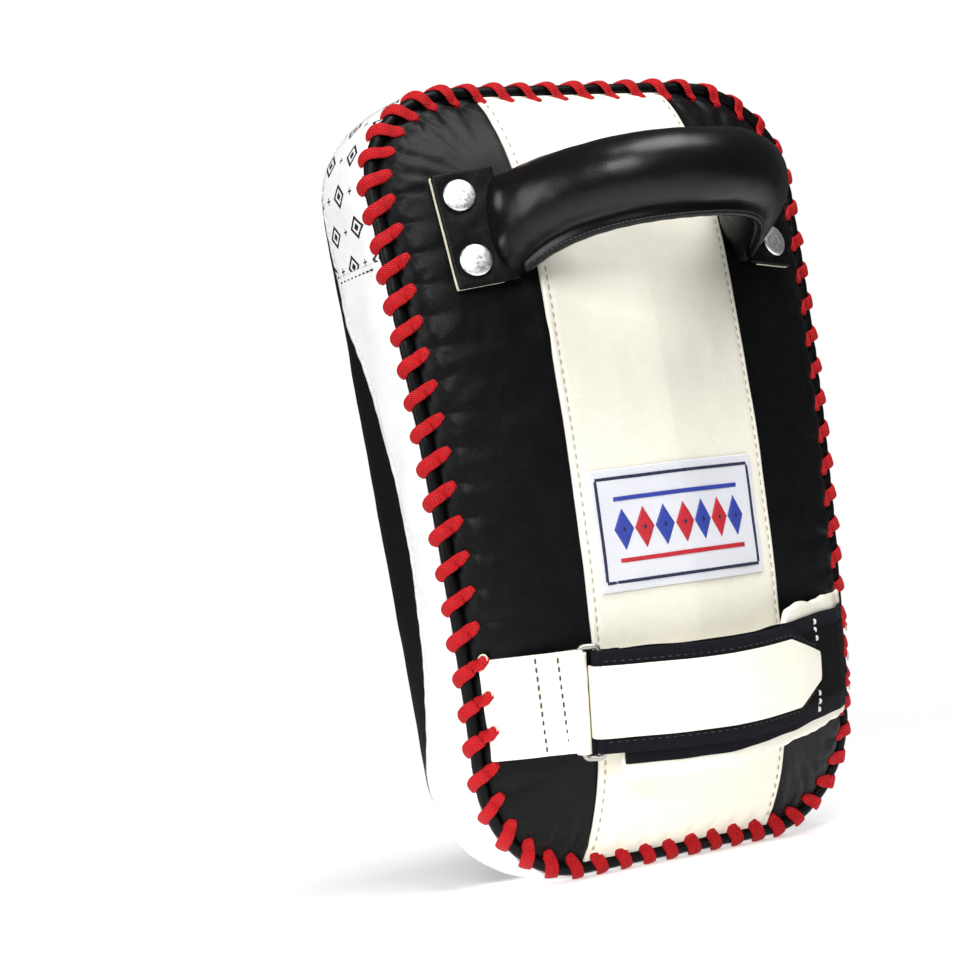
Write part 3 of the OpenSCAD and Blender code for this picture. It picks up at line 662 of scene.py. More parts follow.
def strip_stitching():
    """The thread along both edges of the centre strip."""
    parts = Parts()
    for side in (-1, 1):
        for z in np.arange(-40, 41) * 3.9:
            x = side * (STRIP_HALF - STRIP_SEW)
            _, up, off, _ = frame_at(strip_y, x, z, 0.6)
            at = np.array([x, float(strip_y(np.array(x), z)), z]) + off * 0.85
            stitch(parts, at, up, off, 2.7, 0.7, 0.12)
    finish_piece(parts.build("strip_thread"), "tan_thread", "centre_strip_stitching", slot="light_thread")


def welt():
    """The black rolled welt round the edge, pinched where the lace crosses it."""
    s = np.linspace(0, 2 * HALF_LOOP, 1184, endpoint=False)
    turn = lace_turn(s + 4.7)
    pinch = np.exp(-(((turn - np.round(turn)) * LACE_STEP / 3.0) ** 2)) * 0.4
    bow = rim_bow(beside(s, WELT_IN, 0.0)[:, 2])
    p = np.stack([beside(s, WELT_IN + (WELT_R - pinch) * math.sin(a), bow + (WELT_DEEP - pinch) * math.cos(a))
                  for a in circle(22)], 1)
    p = p + 0.1 * waves(p, 9, 31)[..., None] * unit(p - p.mean(1, keepdims=True))
    finish_piece(new_object("welt_roll", *sweep(p, closed=True)), "black_leather", "edge_welt")


# ---------------------------------------------------------------- the lace


def catmull(points, count):
    """A smooth run of evenly spaced points through the given ones."""
    p = np.asarray(points, float)
    p = np.concatenate([[2 * p[0] - p[1]], p, [2 * p[-1] - p[-2]]])
    out = []
    for i in range(1, len(p) - 2):
        t = np.linspace(0, 1, 14, endpoint=False)[:, None]
        a, b, c, d = p[i - 1 : i + 3]
        square_part, cube_part = 2 * a - 5 * b + 4 * c - d, 3 * b - a - 3 * c + d
        out.append(0.5 * (2 * b + (c - a) * t + square_part * t**2 + cube_part * t**3))
    out = np.concatenate(out + [p[-2][None]])
    gone = np.concatenate([[0], np.cumsum(np.linalg.norm(np.diff(out, axis=0), axis=1))])
    at = np.linspace(0, gone[-1], count)
    return np.stack([np.interp(at, gone, out[:, k]) for k in range(3)], 1), gone[-1]


def lace_path(s0, over):
    """One turn's line: out of the band, over the welt and into the back, over whatever lies there."""
    turn_r = np.array([WELT_R, WELT_DEEP]) + LACE_T / 2 + 0.05
    stops = []
    for share, d, y in ((0.0, 0.4, HOLE_OUT + 0.9), (0.06, 2.0, HOLE_OUT), (0.16, 2.6, HOLE_OUT - 1.6)):
        stops.append((share, d, y, False))
    for share, a in ((0.32, 10), (0.45, 50), (0.57, 90), (0.67, 122)):
        a = math.radians(a)
        stops.append((share, WELT_IN + turn_r[0] * math.cos(a), -turn_r[1] * math.sin(a), False))
    for share, d, lift in ((0.8, -4.6, 0.9), (0.92, HOLE_IN + 1.0, 0.8), (0.97, HOLE_IN - 0.1, -0.3),
                           (1.0, HOLE_IN - 0.6, -2.2)):
        stops.append((share, d, lift, True))
    points = []
    for share, d, y, on_back in stops:
        p = beside(s0 - LACE_SLANT * share, d, 0.0)
        if on_back and over:
            base = float(tab_y(p[0], p[2])) - over * smooth((-d - 1.8) / 1.8)
        else:
            base = float(back_y(p[0], p[2])) if on_back else float(rim_bow(p[2]))
        points.append([p[0], base - y if on_back else base + y, p[2]])
    return points


def lace():
    """The red lace's turns, each a flat braid that gathers where it goes into its holes."""
    parts = Parts()
    r = np.random.default_rng(11)
    steps, sides = 26, 14
    for k in range(LACE_COUNT):
        s0 = lace_at(k)
        hole = beside(s0 - LACE_SLANT, HOLE_IN, 0.0)
        line, length = catmull(lace_path(s0, cover_at(hole[0], hole[2])), steps)
        centre = beside(s0 - LACE_SLANT * 0.5, WELT_IN - 2.0, rim_bow(hole[2]) + 1.6)
        wide = LACE_W * r.uniform(0.93, 1.07)
        twist = r.uniform(-0.12, 0.12)
        rings, uvs = [], []
        for i in range(steps):
            t = i / (steps - 1)
            along = unit(line[min(i + 1, steps - 1)] - line[max(i - 1, 0)])
            out = line[i] - centre
            out = unit(out - along * (out @ along))
            across = np.cross(along, out)
            out, across = (out * math.cos(twist) + across * math.sin(twist),
                           across * math.cos(twist) - out * math.sin(twist))
            end = max(smooth(1 - t / 0.2), smooth((t - 0.72) / 0.24))
            half = wide / 2 * (1 - 0.42 * end)
            thick = LACE_T / 2 * (1 + 0.35 * end)
            ring, uv = [], []
            for j in range(sides):
                a = 2 * math.pi * (j + 0.5) / sides - math.pi / 2
                c, q = math.cos(a), math.sin(a)
                px = half * np.sign(c) * abs(c) ** 0.6
                py = thick * np.sign(q) * abs(q) ** 0.8
                ring.append(line[i] + across * px + out * py)
                uv.append((px, t * length))
            rings.append(ring)
            uvs.append(uv)
        verts, faces = sweep(rings)
        verts[:, 2] = np.maximum(verts[:, 2], GROUND)
        parts.add(verts, faces, uvs)
    finish_piece(parts.build("lace_turns"), "red_lace", "edge_lace")


def cover_at(x, z):
    """How much strap leather lies over the back under the lace's holes."""
    if x < -70 and abs(z - ANCHOR_MID) < 20.5:
        return TAB_LEATHER
    if x > 70 and abs(z - CUFF_MID) < 25:
        return CUFF_END
    return 0.0


def lathe(profile, origin, right, up, axis, count):
    """Points and faces of a turned piece: (radius, height) pairs about an axis."""
    return sweep([[origin + (right * math.cos(a) + up * math.sin(a)) * r + axis * h for a in circle(count)]
                  for r, h in profile])


def lace_holes():
    """The punched holes where the lace goes into the strap's ends, with a raised pale lip, and a dark disc in
    each as painted shade inside the hole.
    """
    lips, dark = Parts(), Parts()
    lip = ((2.2, -0.3), (2.15, 0.1), (1.9, 0.25), (1.6, 0.15), (1.4, -0.2))
    for k in range(LACE_COUNT):
        x, _, z = beside(lace_at(k) - LACE_SLANT, HOLE_IN - 0.3, 0.0).tolist()
        over = cover_at(x, z)
        if over:
            right, up, off, at = frame_at(tab_y, x, z, 1.6)
            for parts, profile in ((lips, lip), (dark, ((1.4, -0.5), (1.4, 0.0)))):
                parts.add(*lathe(profile, at + off * over, right, up, off, 24))
    finish_piece(lips.build("hole_lips"), "raw_leather")
    # painted shade: dark discs that stand for the shade inside the holes
    finish_piece(dark.build("hole_shade_discs"), "dark_thread")


# ---------------------------------------------------------------- the sides and the strike face


def band_drop(s, down):
    """How far the lace pulls the band in at its holes, at a distance down from the welt's plane."""
    turn = lace_turn(s)
    ds = (turn - np.round(turn)) * LACE_STEP
    down = down - HOLE_OUT
    hole = np.exp(-(((ds / 3.0) ** 2) + (down / 3.2) ** 2))
    crease = np.exp(-((ds / (1.6 + 0.08 * np.maximum(down, 0))) ** 2)) * np.exp(-np.maximum(down, 0) / 5)
    return 0.8 * hole + 0.35 * crease * (down > 0)


def band(name, s_from, s_to, mat, stands_for, seed):
    """A length of the white side band, from under the welt to its cut edge on the strike leather."""
    s = np.linspace(s_from, s_to, int((s_to - s_from) / 1.1))
    z = beside(s, SKIN_OUT, 0.0)[:, 2]
    ya = rim_bow(z) + WELT_DEEP - 2.2
    yb = seam_y(z) + 0.35 * waves(s[:, None], 40, seed) + 0.2 * waves(s[:, None], 9, seed + 1)
    ss, share = grid(s, np.linspace(0, 1, 34))
    y = ya[:, None] + (yb - ya)[:, None] * share
    down = y - rim_bow(z)[:, None]
    puff = 0.9 * np.sin(math.pi * share) ** 0.8 + 0.25 * waves(pair(ss, y), 30, seed + 2)
    puff = puff * smooth(share / 0.12) * smooth((1 - share) / 0.12)
    rolled = 1 - smooth(share / 0.1)
    stitched = 0.25 * np.exp(-(((y - yb[:, None] + BAND_SEW) / 0.8) ** 2))
    p = beside(ss, side_out(y) + puff - band_drop(ss, down) - rolled - stitched + 0.5, y)
    p[..., 2] = np.maximum(p[..., 2], GROUND)
    ob = shell(name, p, 1.5, pair(ss, down), flip=True)
    finish_piece(ob, mat, stands_for)


def bands():
    """The printed upper band and the plain lower one, which overlaps its ends."""
    right, left = ARC_Z + BAND_JOIN_Z, HALF_LOOP + ARC_Z - BAND_JOIN_Z
    band("band_upper", right, left, "white_printed_leather", "side_band_upper", 41)
    band("band_lower", left, right + 2 * HALF_LOOP, "white_leather", "side_band_lower", 51)
    joins, seam = Parts(), Parts()
    for s in (right - 2.5, left + 2.5):
        z = float(beside(s, 0, 0)[2])
        top, low = rim_bow(z) + WELT_DEEP + 2, float(seam_y(z)) - 2
        out = unit(beside(s, 1, 0) - beside(s, 0, 0))
        for k in range(int((low - top) / 3.6)):
            at = beside(s, SKIN_OUT + 0.9, top + 1.8 + 3.6 * k)
            stitch(joins, at, np.array([0.0, 1.0, 0.0]), out, 2.5, 0.8, 0.35)
    finish_piece(joins.build("band_join_thread"), "dark_thread", "band_join_stitching")
    for s in np.linspace(0, 2 * HALF_LOOP, 250, endpoint=False):
        y = float(seam_y(beside(s, 0, 0)[2])) - BAND_SEW
        p, q = beside(s - 1, side_out(y) + 0.5, y), beside(s + 1, side_out(y) + 0.5, y)
        out = unit(beside(s, 1, 0) - beside(s, 0, 0))
        stitch(seam, (p + q) / 2, unit(q - p), out, 2.6, 0.7, 0.1)
    finish_piece(seam.build("band_seam_thread"), "light_thread")


def strike_cover():
    """The black leather over the strike foam: sides, rounded edge and face in one crowned shell."""
    s = np.linspace(0, 2 * HALF_LOOP, 641)
    y0 = seam_y(beside(s, SKIN_OUT, 0.0)[:, 2]) - 3.5
    face = STRIKE_Y - 0.3
    rings = []
    for f in np.sin(np.linspace(0, math.pi / 2, 30)):
        y = y0 + (face - y0) * f
        rings.append(beside(s, side_out(y) - 0.4, y))
    edge = rings[-1]
    for f in np.maximum(1 - np.arange(1, 34) / 33, 0.001):
        rings.append(edge * [f, 0, f] + [0, face + 0.3 * (1 - f**2), 0])
    p = np.stack(rings, 1)
    flat = smooth((p[..., 1] - STRIKE_Y + 12) / 12)
    lumps = 0.3 * waves(p, 75, 61) + 0.12 * waves(p, 22, 62)
    normals = grid_normals(p)
    normals[:, -4:] = unit(normals[:, -5].mean(0))
    p = p + normals * (np.abs(lumps) * (1 - 0.6 * flat))[..., None]
    p[-1] = p[0]
    ob = shell("strike_leather", p, 1.8, pair(p[..., 0], p[..., 2]), wrap=True, flip=True)
    finish_piece(ob, "black_leather", "strike_cover")


# ---------------------------------------------------------------- the grip

FOOT_Y = float(dome(np.array(FOOT_X), np.array(GRIP_Z))) - 3.5


def arch(t):
    """The middle line of the grip's roll."""
    u = 1 - t
    x = -FOOT_X * u**3 - 3 * ARCH_X * u * u * t + 3 * ARCH_X * u * t * t + FOOT_X * t**3
    y = FOOT_Y * (u**3 + t**3) - 3 * ARCH_Y * u * t
    return np.array([x, y, GRIP_Z + ROLL_RISE * (1 - abs(2 * t - 1) ** 4)])


def arch_out(t, step):
    """The level way out from that line."""
    ahead = arch(min(1, t + step)) - arch(max(0, t - step))
    return unit(np.array([ahead[1], -ahead[0], 0.0]))


def roll_tall(e):
    """Half the roll's height, a share e of the way from its middle to an end."""
    return ROLL_R + 1.2 + 6.3 * e**6


def flange_low(e):
    return FLANGE_LOW - 13 * e**4


def grip_roll():
    """The padded roll: leather round a felt core, flattened at both ends."""
    steps, sides = 150, 56
    line = np.linspace(0, 1, steps + 1)
    middle = np.array([arch(t) for t in line])
    rings, uvs = [], []
    for t, c in zip(line, middle):
        e = abs(2 * t - 1)
        out, up = arch_out(t, 0.01) * (ROLL_R - 6.0 * e**12), np.array([0, 0, roll_tall(e)])
        rings.append([c + out * np.sign(math.cos(a)) * abs(math.cos(a)) ** 0.95 + up * math.sin(a)
                      for a in circle(sides)])
        uvs.append([(a * ROLL_R, t * 200) for a in circle(sides)])
    p = np.array(rings)
    normals = grid_normals(np.concatenate([p[:, -1:], p, p[:, :1]], 1))[:, 1:-1]
    share = np.abs(2 * line - 1)[:, None]
    outward = p - middle[:, None, :]
    folds = np.sin(line[:, None] * 150 + 1.2 * waves(p, 18, 71)) * smooth(outward[..., 1] / 8.0)
    crease = 0.16 * folds * smooth((share - 0.45) / 0.3) * smooth((1 - share) / 0.08)
    lumps = 0.22 * waves(p, 34, 72) + 0.07 * waves(p, 10, 73) + crease
    p = p + normals * lumps[..., None] * np.sign((normals * outward).sum(-1, keepdims=True))
    for row in (0, 1, steps - 1, steps):
        end = row in (0, steps)
        deep = dome(p[row, :, 0], p[row, :, 2]) - (0.2 if end else 1.0)
        p[row, :, 1] = deep if end else np.minimum(p[row, :, 1], deep)
    roll = new_object("grip_roll", *sweep(p), np.array(uvs))
    finish_piece(roll, "grip_leather", "handle_cover", slot="black_leather")


def grip_flange():
    """The roll's sewn edge, and its thread."""
    rings, threads = [], Parts()
    for i in range(121):
        t = 0.03 + 0.94 * i / 120
        e = abs(2 * t - 1)
        out, c = arch_out(t, 0.01), arch(t)
        top = c[2] - roll_tall(e) + 2.0
        low = min(flange_low(e), top - 3.0) + 0.07 * math.sin(i * 0.9) * (e < 0.9)
        half = [(2.3, top), (1.75, top - 1.4), (1.75, (top + low) / 2), (1.55, low + 1.0), (0.8, low)]
        rings.append([[c[0] + out[0] * w, c[1] + out[1] * w, z] for w, z in half]
                     + [[c[0] - out[0] * w, c[1] - out[1] * w, z] for w, z in half[::-1]])
    finish_piece(new_object("grip_flange", *sweep(rings)), "grip_leather", slot="black_leather")
    for i in range(78):
        t = 0.06 + 0.88 * i / 77
        out, c = arch_out(t, 0.005), arch(t)
        sewn = np.array([c[0], c[1], flange_low(abs(2 * t - 1)) + 1.7])
        for side in (-1, 1):
            along = np.array([-out[1], out[0], 0.0])
            stitch(threads, sewn + out * side * 1.72, along, out * side, 2.1, 0.6, 0.08)
    finish_piece(threads.build("grip_thread"), "dark_thread", "handle_stitching")


def tab_frame(side):
    """The plane of one of the grip's ends: its origin, its outward, off and up directions."""
    x, z = side * TAB_X, GRIP_Z
    dx = float(dome(np.array(x + 1), np.array(z)) - dome(np.array(x - 1), np.array(z)))
    dz = float(dome(np.array(x), np.array(z + 1)) - dome(np.array(x), np.array(z - 1)))
    n = math.sqrt(dx * dx + 4 + dz * dz)
    turn = Matrix.Rotation(math.atan(dx / 2), 4, "Z") @ Matrix.Rotation(-math.asin(dz / n), 4, "X")
    m = np.array(turn.to_3x3())
    origin = np.array([x, float(dome(np.array(x), np.array(z))), z])
    right, up, a = m[:, 0] * side, m[:, 2], math.radians(TAB_LEAN)
    return origin, right * math.cos(a) - up * math.sin(a), -m[:, 1], up * math.cos(a) + right * math.sin(a)


def tab_plate(name, side, x0, x1, h, thick, lift, soft):
    """A leather plate on one of the grip's ends, pressed in round its rivets where it is soft."""
    origin, right, off, up = tab_frame(side)
    z, x = grid(np.linspace(-h / 2, h / 2, 70), np.linspace(x0, x1, 44))
    flat = pair(x, z)
    rise = lift + thick / 2 + soft * (0.12 * waves(flat, 17, 75 + side) + 0.04 * waves(flat, 6, 77 + side))
    for k in (-1, 1):
        r = np.hypot(x - RIVET_IN, z - k * RIVET_PITCH / 2)
        rise = rise - soft * 0.35 * np.exp(-(((r - CAP_D / 2) / 2.4) ** 2))
    p = origin + right * x[..., None] + up * z[..., None] + off * rise[..., None]
    dz, dx = np.gradient(rise, z[1, 0] - z[0, 0], x[0, 1] - x[0, 0])
    normals = unit(off - right * dx[..., None] - up * dz[..., None])
    return soft_plate(name, p, normals, thick, 0.6, flat)


def grip_ends():
    """The roll's flat ends, their linings and the rivets' caps."""
    caps, half = Parts(), TAB_W / 2
    dome_shape = ((0.93, -0.1), (1, 0.25), (0.995, 0.6), (0.96, 1.0), (0.88, 1.32),
                  (0.72, 1.58), (0.5, 1.74), (0.25, 1.82), (0.03, 1.84))
    for side, word in ((-1, "left"), (1, "right")):
        tab = tab_plate(f"grip_tab_{word}", side, -half - 5, half, TAB_H, TAB_T, TAB_LIFT + LINING_T, 1.0)
        finish_piece(tab, "black_leather", f"handle_tab_{word}")
        lining = tab_plate(f"grip_lining_{word}", side, 1 - half, half + 0.5, TAB_H - 0.4, LINING_T,
                           TAB_LIFT, 0.3)
        finish_piece(lining, "raw_leather", f"tab_lining_{word}")
        origin, right, off, up = tab_frame(side)
        top = origin + right * RIVET_IN + off * (TAB_LIFT + LINING_T + TAB_T + 0.1)
        for k in (-1, 1):
            caps.add(*lathe([(CAP_D / 2 * r, h) for r, h in dome_shape], top + up * (k * RIVET_PITCH / 2),
                            right, up * side, off, 48))
    finish_piece(caps.build("rivet_domes"), "nickel", "rivet_caps")


# ---------------------------------------------------------------- the label


def label_point(x, z, lift):
    """Points a lift above the strip, and the directions off it."""
    e = 0.5
    dx, dz = strip_y(x + e, z) - strip_y(x - e, z), strip_y(x, z + e) - strip_y(x, z - e)
    n = unit(np.stack([dx, np.full_like(dx, -2 * e), dz], -1))
    return np.stack([x, strip_y(x, z) - STRIP_LIFT, z], -1) + n * lift, n


def lozenge(u, v):
    """A square's points moved to a diamond."""
    return (u - v) / 2, (u + v) / 2


def square(u, v):
    return u, v


def patch(parts, x, z, half_w, half_h, shape, lift=1.35, thick=0.35, cells=14):
    """A small raised motif about (x, z) on the label, whose shape moves a square's points."""
    u, v = grid(np.linspace(-1, 1, cells), np.linspace(-1, 1, cells))
    a, b = shape(u, v)
    p, n = label_point(LABEL_X + x + half_w * a, LABEL_Z + z + half_h * b, lift)
    edge = np.maximum(np.abs(u), np.abs(v))[..., None] > 0.99
    top = np.where(edge, p, p + n * thick)
    verts = np.concatenate([top.reshape(-1, 3), (p - n * 0.2).reshape(-1, 3)])
    parts.add(verts, sheet_faces(cells, cells, flip=True))


def label():
    """The woven label, its navy border, and a plain ribbon of diamonds."""
    z, x = grid(np.linspace(-0.5, 0.5, 60) * (LABEL_H - 1) + LABEL_Z,
                np.linspace(-0.5, 0.5, 90) * (LABEL_W - 1) + LABEL_X)
    p, normals = label_point(x, z, 0.8)
    p = p + normals * (0.12 * waves(pair(x, z), 22, 81))[..., None]
    finish_piece(soft_plate("label_weave", p, normals, 0.8, 0.5, pair(x, z)), "label_cloth", "label_patch")
    border, red, blue = Parts(), Parts(), Parts()
    half_w, half_h, pitch, run, bar = 36.85, 21.1, 4.1, 2.06, 0.65
    for side in (-1, 1):
        for k in range(18):
            patch(border, (k - 8.5) * pitch, side * half_h, run, bar, square, thick=0.34, cells=5)
        for k in range(10):
            patch(border, side * half_w, (k - 4.5) * pitch, bar, run, square, thick=0.34, cells=5)
        patch(blue if side > 0 else red, 0, side * 12.6, 30, 0.9, square, 1.25, 0.28, 24)
    for k in range(7):
        patch(border, (k - 3) * 9.0, 0, 0.9, 1.6, lozenge, 1.6, 0.3, 6)
        patch(red if k % 2 else blue, (k - 3) * 9.0, 0, 4.2, 8.5, lozenge)
    finish_piece(border.build("label_border"), "navy_thread", "label_stitching")
    finish_piece(red.build("label_motif_red"), "crimson_thread", slot="navy_thread")
    finish_piece(blue.build("label_motif_blue"), "blue_thread", slot="navy_thread")


# ---------------------------------------------------------------- the strap


def strap_y(x):
    """The strap's underside, over the back, in the strap's own frame."""
    x = np.asarray(x, float)
    share = np.maximum(0, 1 - (x / STRAP_HALF) ** 2)
    return dome(x, np.full_like(x, STRAP_Z)) - EDGE_GAP - (STRAP_GAP - EDGE_GAP) * share**2.2


def strap_off(x):
    g = (strap_y(x + 1) - strap_y(x - 1)) / 2
    n = np.sqrt(1 + g * g)
    return np.stack([g / n, -1 / n], -1)


def strap_xy(x, off):
    x = np.asarray(x, float)
    o = strap_off(x)
    return x + off * o[..., 0], strap_y(x) + off * o[..., 1]


def from_strap(x, y, z):
    """Points of the strap's frame in the pad's."""
    a = math.radians(STRAP_LEAN)
    y = y + LEAN_PIVOT
    return np.stack(np.broadcast_arrays(x, y * math.cos(a) - z * math.sin(a) - LEAN_PIVOT,
                                        y * math.sin(a) + z * math.cos(a) + STRAP_Z), -1)


def strap_layer(x, z, off):
    """Points at (x, z) a height off above the strap's underside, and their directions off it."""
    px, py = strap_xy(x, off)
    o = strap_off(x)
    normal = from_strap(o[..., 0], o[..., 1] - LEAN_PIVOT, 0.0) - from_strap(0.0, -LEAN_PIVOT, 0.0)
    return from_strap(px, py, z), unit(normal)


LEFT_BAR = np.array(strap_xy(RING_X, RING_OFF))
RING_WAY = unit(np.array(strap_xy(RING_X + 6, RING_OFF)) - LEFT_BAR)
RIGHT_BAR = LEFT_BAR + RING_PITCH * RING_WAY
RING_NORMAL = np.array([RING_WAY[1], -RING_WAY[0]])
TURN_R = WIRE_D / 2 + 0.4
STRAP_UP = unit(from_strap(0.0, 0.0, 1.0) - from_strap(0.0, 0.0, 0.0))
FLAP_X0 = RIGHT_BAR[0] + 0.8
FLAP_OFF = RING_OFF + TURN_R


def around_bar(a, radius, bar=RIGHT_BAR):
    """A point of the strap frame on a circle round a bar of the ring: 90 degrees is its outer side."""
    a = math.radians(a)
    return bar + radius * (math.cos(a) * RING_WAY + math.sin(a) * RING_NORMAL)


def on_lean(p, lift, share):
    """Moves strap points down onto the back, share 1 is on it and 0 leaves them."""
    ground = p.copy()
    ground[..., 1] = tab_y(p[..., 0], p[..., 2]) - lift
    return p * (1 - share[..., None]) + ground * share[..., None]


def anchor_rise(x):
    """How far the anchor tab has risen from the back to the ring, at x."""
    return 1.2 + (RING_OFF - 1.2) * np.clip((x + 87) / (RING_X + 87), 0, 1)


def anchor():
    """The cream tab sewn round the ring's bar and laced into the edge."""
    zs = np.linspace(-STRAP_H / 2 + 0.8, STRAP_H / 2 - 0.8, 56)[:, None]
    share = np.linspace(0, 1, 80)
    left = -(HALF_W - END_IN - 1.8) * lean(zs * math.cos(math.radians(STRAP_LEAN)) + ANCHOR_MID)
    x = left + (RING_X + 1.0 - left) * share
    z = zs + 2.6 * (share - 0.6)
    groove = sum(np.exp(-(((x + 0.06 * z - row) / 0.8) ** 2)) for row in ANCHOR_ROWS) * 0.3
    p, n = strap_layer(x, z, anchor_rise(x) - groove + 0.25 * waves(pair(x, z), 22, 91))
    p = on_lean(p, TAB_LEATHER / 2, smooth((-73 - x) / 11))
    fuller = 1 + 1.4 * smooth((x + 66) / 9)
    ob = soft_plate("anchor_leather", p, n * fuller[..., None], TAB_LEATHER, 0.6, pair(x, z))
    finish_piece(ob, "cream_leather", "anchor_tab")
    eye = [[from_strap(*around_bar(math.degrees(a), TURN_R + 1.4 + 0.05 * math.sin(z * 0.7 + a), LEFT_BAR), z)
            for a in circle(30)] for z in np.linspace(-STRAP_H / 2 + 0.4, STRAP_H / 2 - 0.4, 30)]
    finish_piece(new_object("anchor_fold", *sweep(eye)), "cream_leather")
    rows, faint = Parts(), Parts()
    for xc, parts, width, proud in ((ANCHOR_ROWS[0], rows, 0.8, 1.0), (ANCHOR_ROWS[1], rows, 0.8, 1.45),
                                    (-58.0, faint, 0.55, 2.6)):
        for k in range(-5, 6):
            at, n = strap_layer(np.array(xc - 0.22 * k), np.array(k * 3.6), anchor_rise(xc) + proud)
            stitch(parts, at, STRAP_UP, n, 2.5, width, 0.1)
            if parts is rows:
                stitch(faint, at + STRAP_UP * 1.8, STRAP_UP, n, 1.7, 0.5, 0.0)
    finish_piece(rows.build("anchor_thread"), "dark_thread", "anchor_stitching")
    finish_piece(faint.build("anchor_thread_pale"), "light_thread")


def cuff():
    """The wide padded band that lies over the forearm, with cut wavy edges, laced in on the right."""
    v, u = grid(np.linspace(0, 1, 60), np.linspace(0, 1, 150))
    right = (HALF_W - END_IN) * lean(CUFF_MID)
    x = CUFF_X + (right - CUFF_X) * u + 0.5 * waves(v[..., None] * 56, 24, 101) * (1 - u) ** 6

    def wavy(x, *bumps):
        return sum(height * waves(x[..., None], length, seed) for height, length, seed in bumps)

    low = -33.0 + 6.0 * smooth((x + 20) / 110) + wavy(x, (0.7, 34, 102), (0.15, 9, 103))
    high = 17.5 + 9.0 * smooth((x - 34) / 6) + wavy(x, (0.7, 24, 104), (0.15, 8, 105))
    z = low + 0.8 + (high - low - 1.6) * v
    p, n = strap_layer(x, z, CUFF_T / 2 + 0.0875 * waves(pair(x, z), 18, 106))
    p = on_lean(p, 1.6, smooth((x - 73) / 11))
    full = (1 - 0.25 * (2 * np.abs(v - 0.5)) ** 8) * (1 - 0.35 * smooth((x - 74) / 12))
    ob = soft_plate("cuff_leather", p, n * full[..., None], CUFF_T - 0.8, 1.1, pair(x, z))
    finish_piece(ob, "cream_leather", "cuff_cover", "cuff_foam", slot="white_leather")
    for name, mat, bottom, top, inset, lift, thick, stands_for in (
            ("cuff_tape", "black_tape", -26.0, 21.0, 0.8, 0.55, 0.8, ("cuff_loop_tape",)),
            ("cuff_loops", "loop_tape", -18.5, 14.0, 1.8, 1.15, 0.9, ())):
        v, x = grid(np.linspace(0, 1, 50), np.linspace(CUFF_X + inset, right - 1.0, 130))
        low = bottom + 3.5 * smooth((x + 20) / 110) + wavy(x, (0.2, 25, 107))
        z = low + (top + wavy(x, (0.2, 25, 108)) - low) * v
        p, n = strap_layer(x, z, CUFF_T + lift + 0.1 * waves(pair(x, z), 15, 109))
        p = on_lean(p, 3.2 + lift, smooth((x - 73) / 11))
        finish_piece(soft_plate(name, p, n, thick, 0.3, pair(x, z)), mat, *stands_for, slot="black_tape")
    threads = Parts()
    for z in (-19.5, -16.0, -12.5, 11.0, 14.5, 18.0):
        at, n = strap_layer(np.array(55.5), np.array(z), CUFF_T + (1.7 if -18 < z < 14 else 1.1))
        stitch(threads, at, STRAP_UP, n, 2.9, 1.3, 0.2)
    finish_piece(threads.build("cuff_thread"), "light_thread", "cuff_stitching")


def in_frame(p):
    """A pad point in mm as a point of the frame in metres."""
    return tuple(float(v) for v in (np.asarray(p) + [0, PLANE_Y, BASE_Z]) / 1000)


def strap_leg():
    """The webbing from the cuff's end round the ring's bar."""
    rows = np.linspace(-STRAP_H / 2 + 0.5, STRAP_H / 2 - 0.5, 40)
    r = TURN_R + WEB_T / 2
    line = [np.array(strap_xy(x, h)) for x, h in ((-41.0, 2.2), (-42.0, 2.3), (-43.0, 2.5), (-44.0, 2.8))]
    line += [RIGHT_BAR + RING_WAY * x - RING_NORMAL * r for x in (5.5, 4.0, 2.8, 1.5, 0.5)]
    line += [around_bar(a, r) for a in np.linspace(264, 96, 20)]
    p = np.stack([from_strap(q[0], q[1], rows) for q in line], 1)
    z, x = grid(rows, np.linspace(-9, 9, len(line)))
    ob = soft_plate("strap_leg", p, -grid_normals(p), WEB_T, 0.4, pair(x, z), None)
    finish_piece(ob, "black_tape", "strap_turn")
    start, end = from_strap(*strap_xy(-42.5, 2.5), 0.0), from_strap(*strap_xy(-46.5, 3.0), 0.0)
    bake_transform(ob)


def cut_off(x, start, tip, full, end):
    """Half the flap's height at x: full as far as the start, then cut off to a lower end at its tip."""
    return full - (full - end) * np.clip((x - start) / (tip - start), 0, 1)


def flap_grid(x0, x1, inset):
    """Points of the flap's outline, filled in, an inset inside its edge."""
    v, u = grid(np.linspace(-1, 1, 46), np.linspace(0, 1, 130))
    x = x0 + (x1 - x0) * u
    full, tip = STRAP_H / 2 - inset, 53.0 - inset * 0.45
    return x, v * np.where(v > 0, cut_off(x, 31.0, tip, full, 6.0), cut_off(x, 35.0, tip, full, 6.0))


def flap_wave(x, z):
    return 0.22 * waves(pair(x, z), 30, 111) * smooth((x - FLAP_X0) / 14)


def round_bar(p, n, x, z, radius, angles):
    """Adds to a layer's left end the columns that take it round the ring's right bar."""
    rows = z[:, 0]
    middle = from_strap(RIGHT_BAR[0], RIGHT_BAR[1], rows)
    bend = [from_strap(*around_bar(a, radius), rows) for a in angles]
    away = [unit(q - middle) for q in bend]
    uv_z, uv_x = grid(rows, x[0, 0] - np.radians(angles - angles[-1]) * radius - 0.5)
    uv = np.concatenate([pair(uv_x, uv_z), pair(x, z)], 1)
    return np.concatenate([np.stack(bend, 1), p], 1), np.concatenate([np.stack(away, 1), n], 1), uv


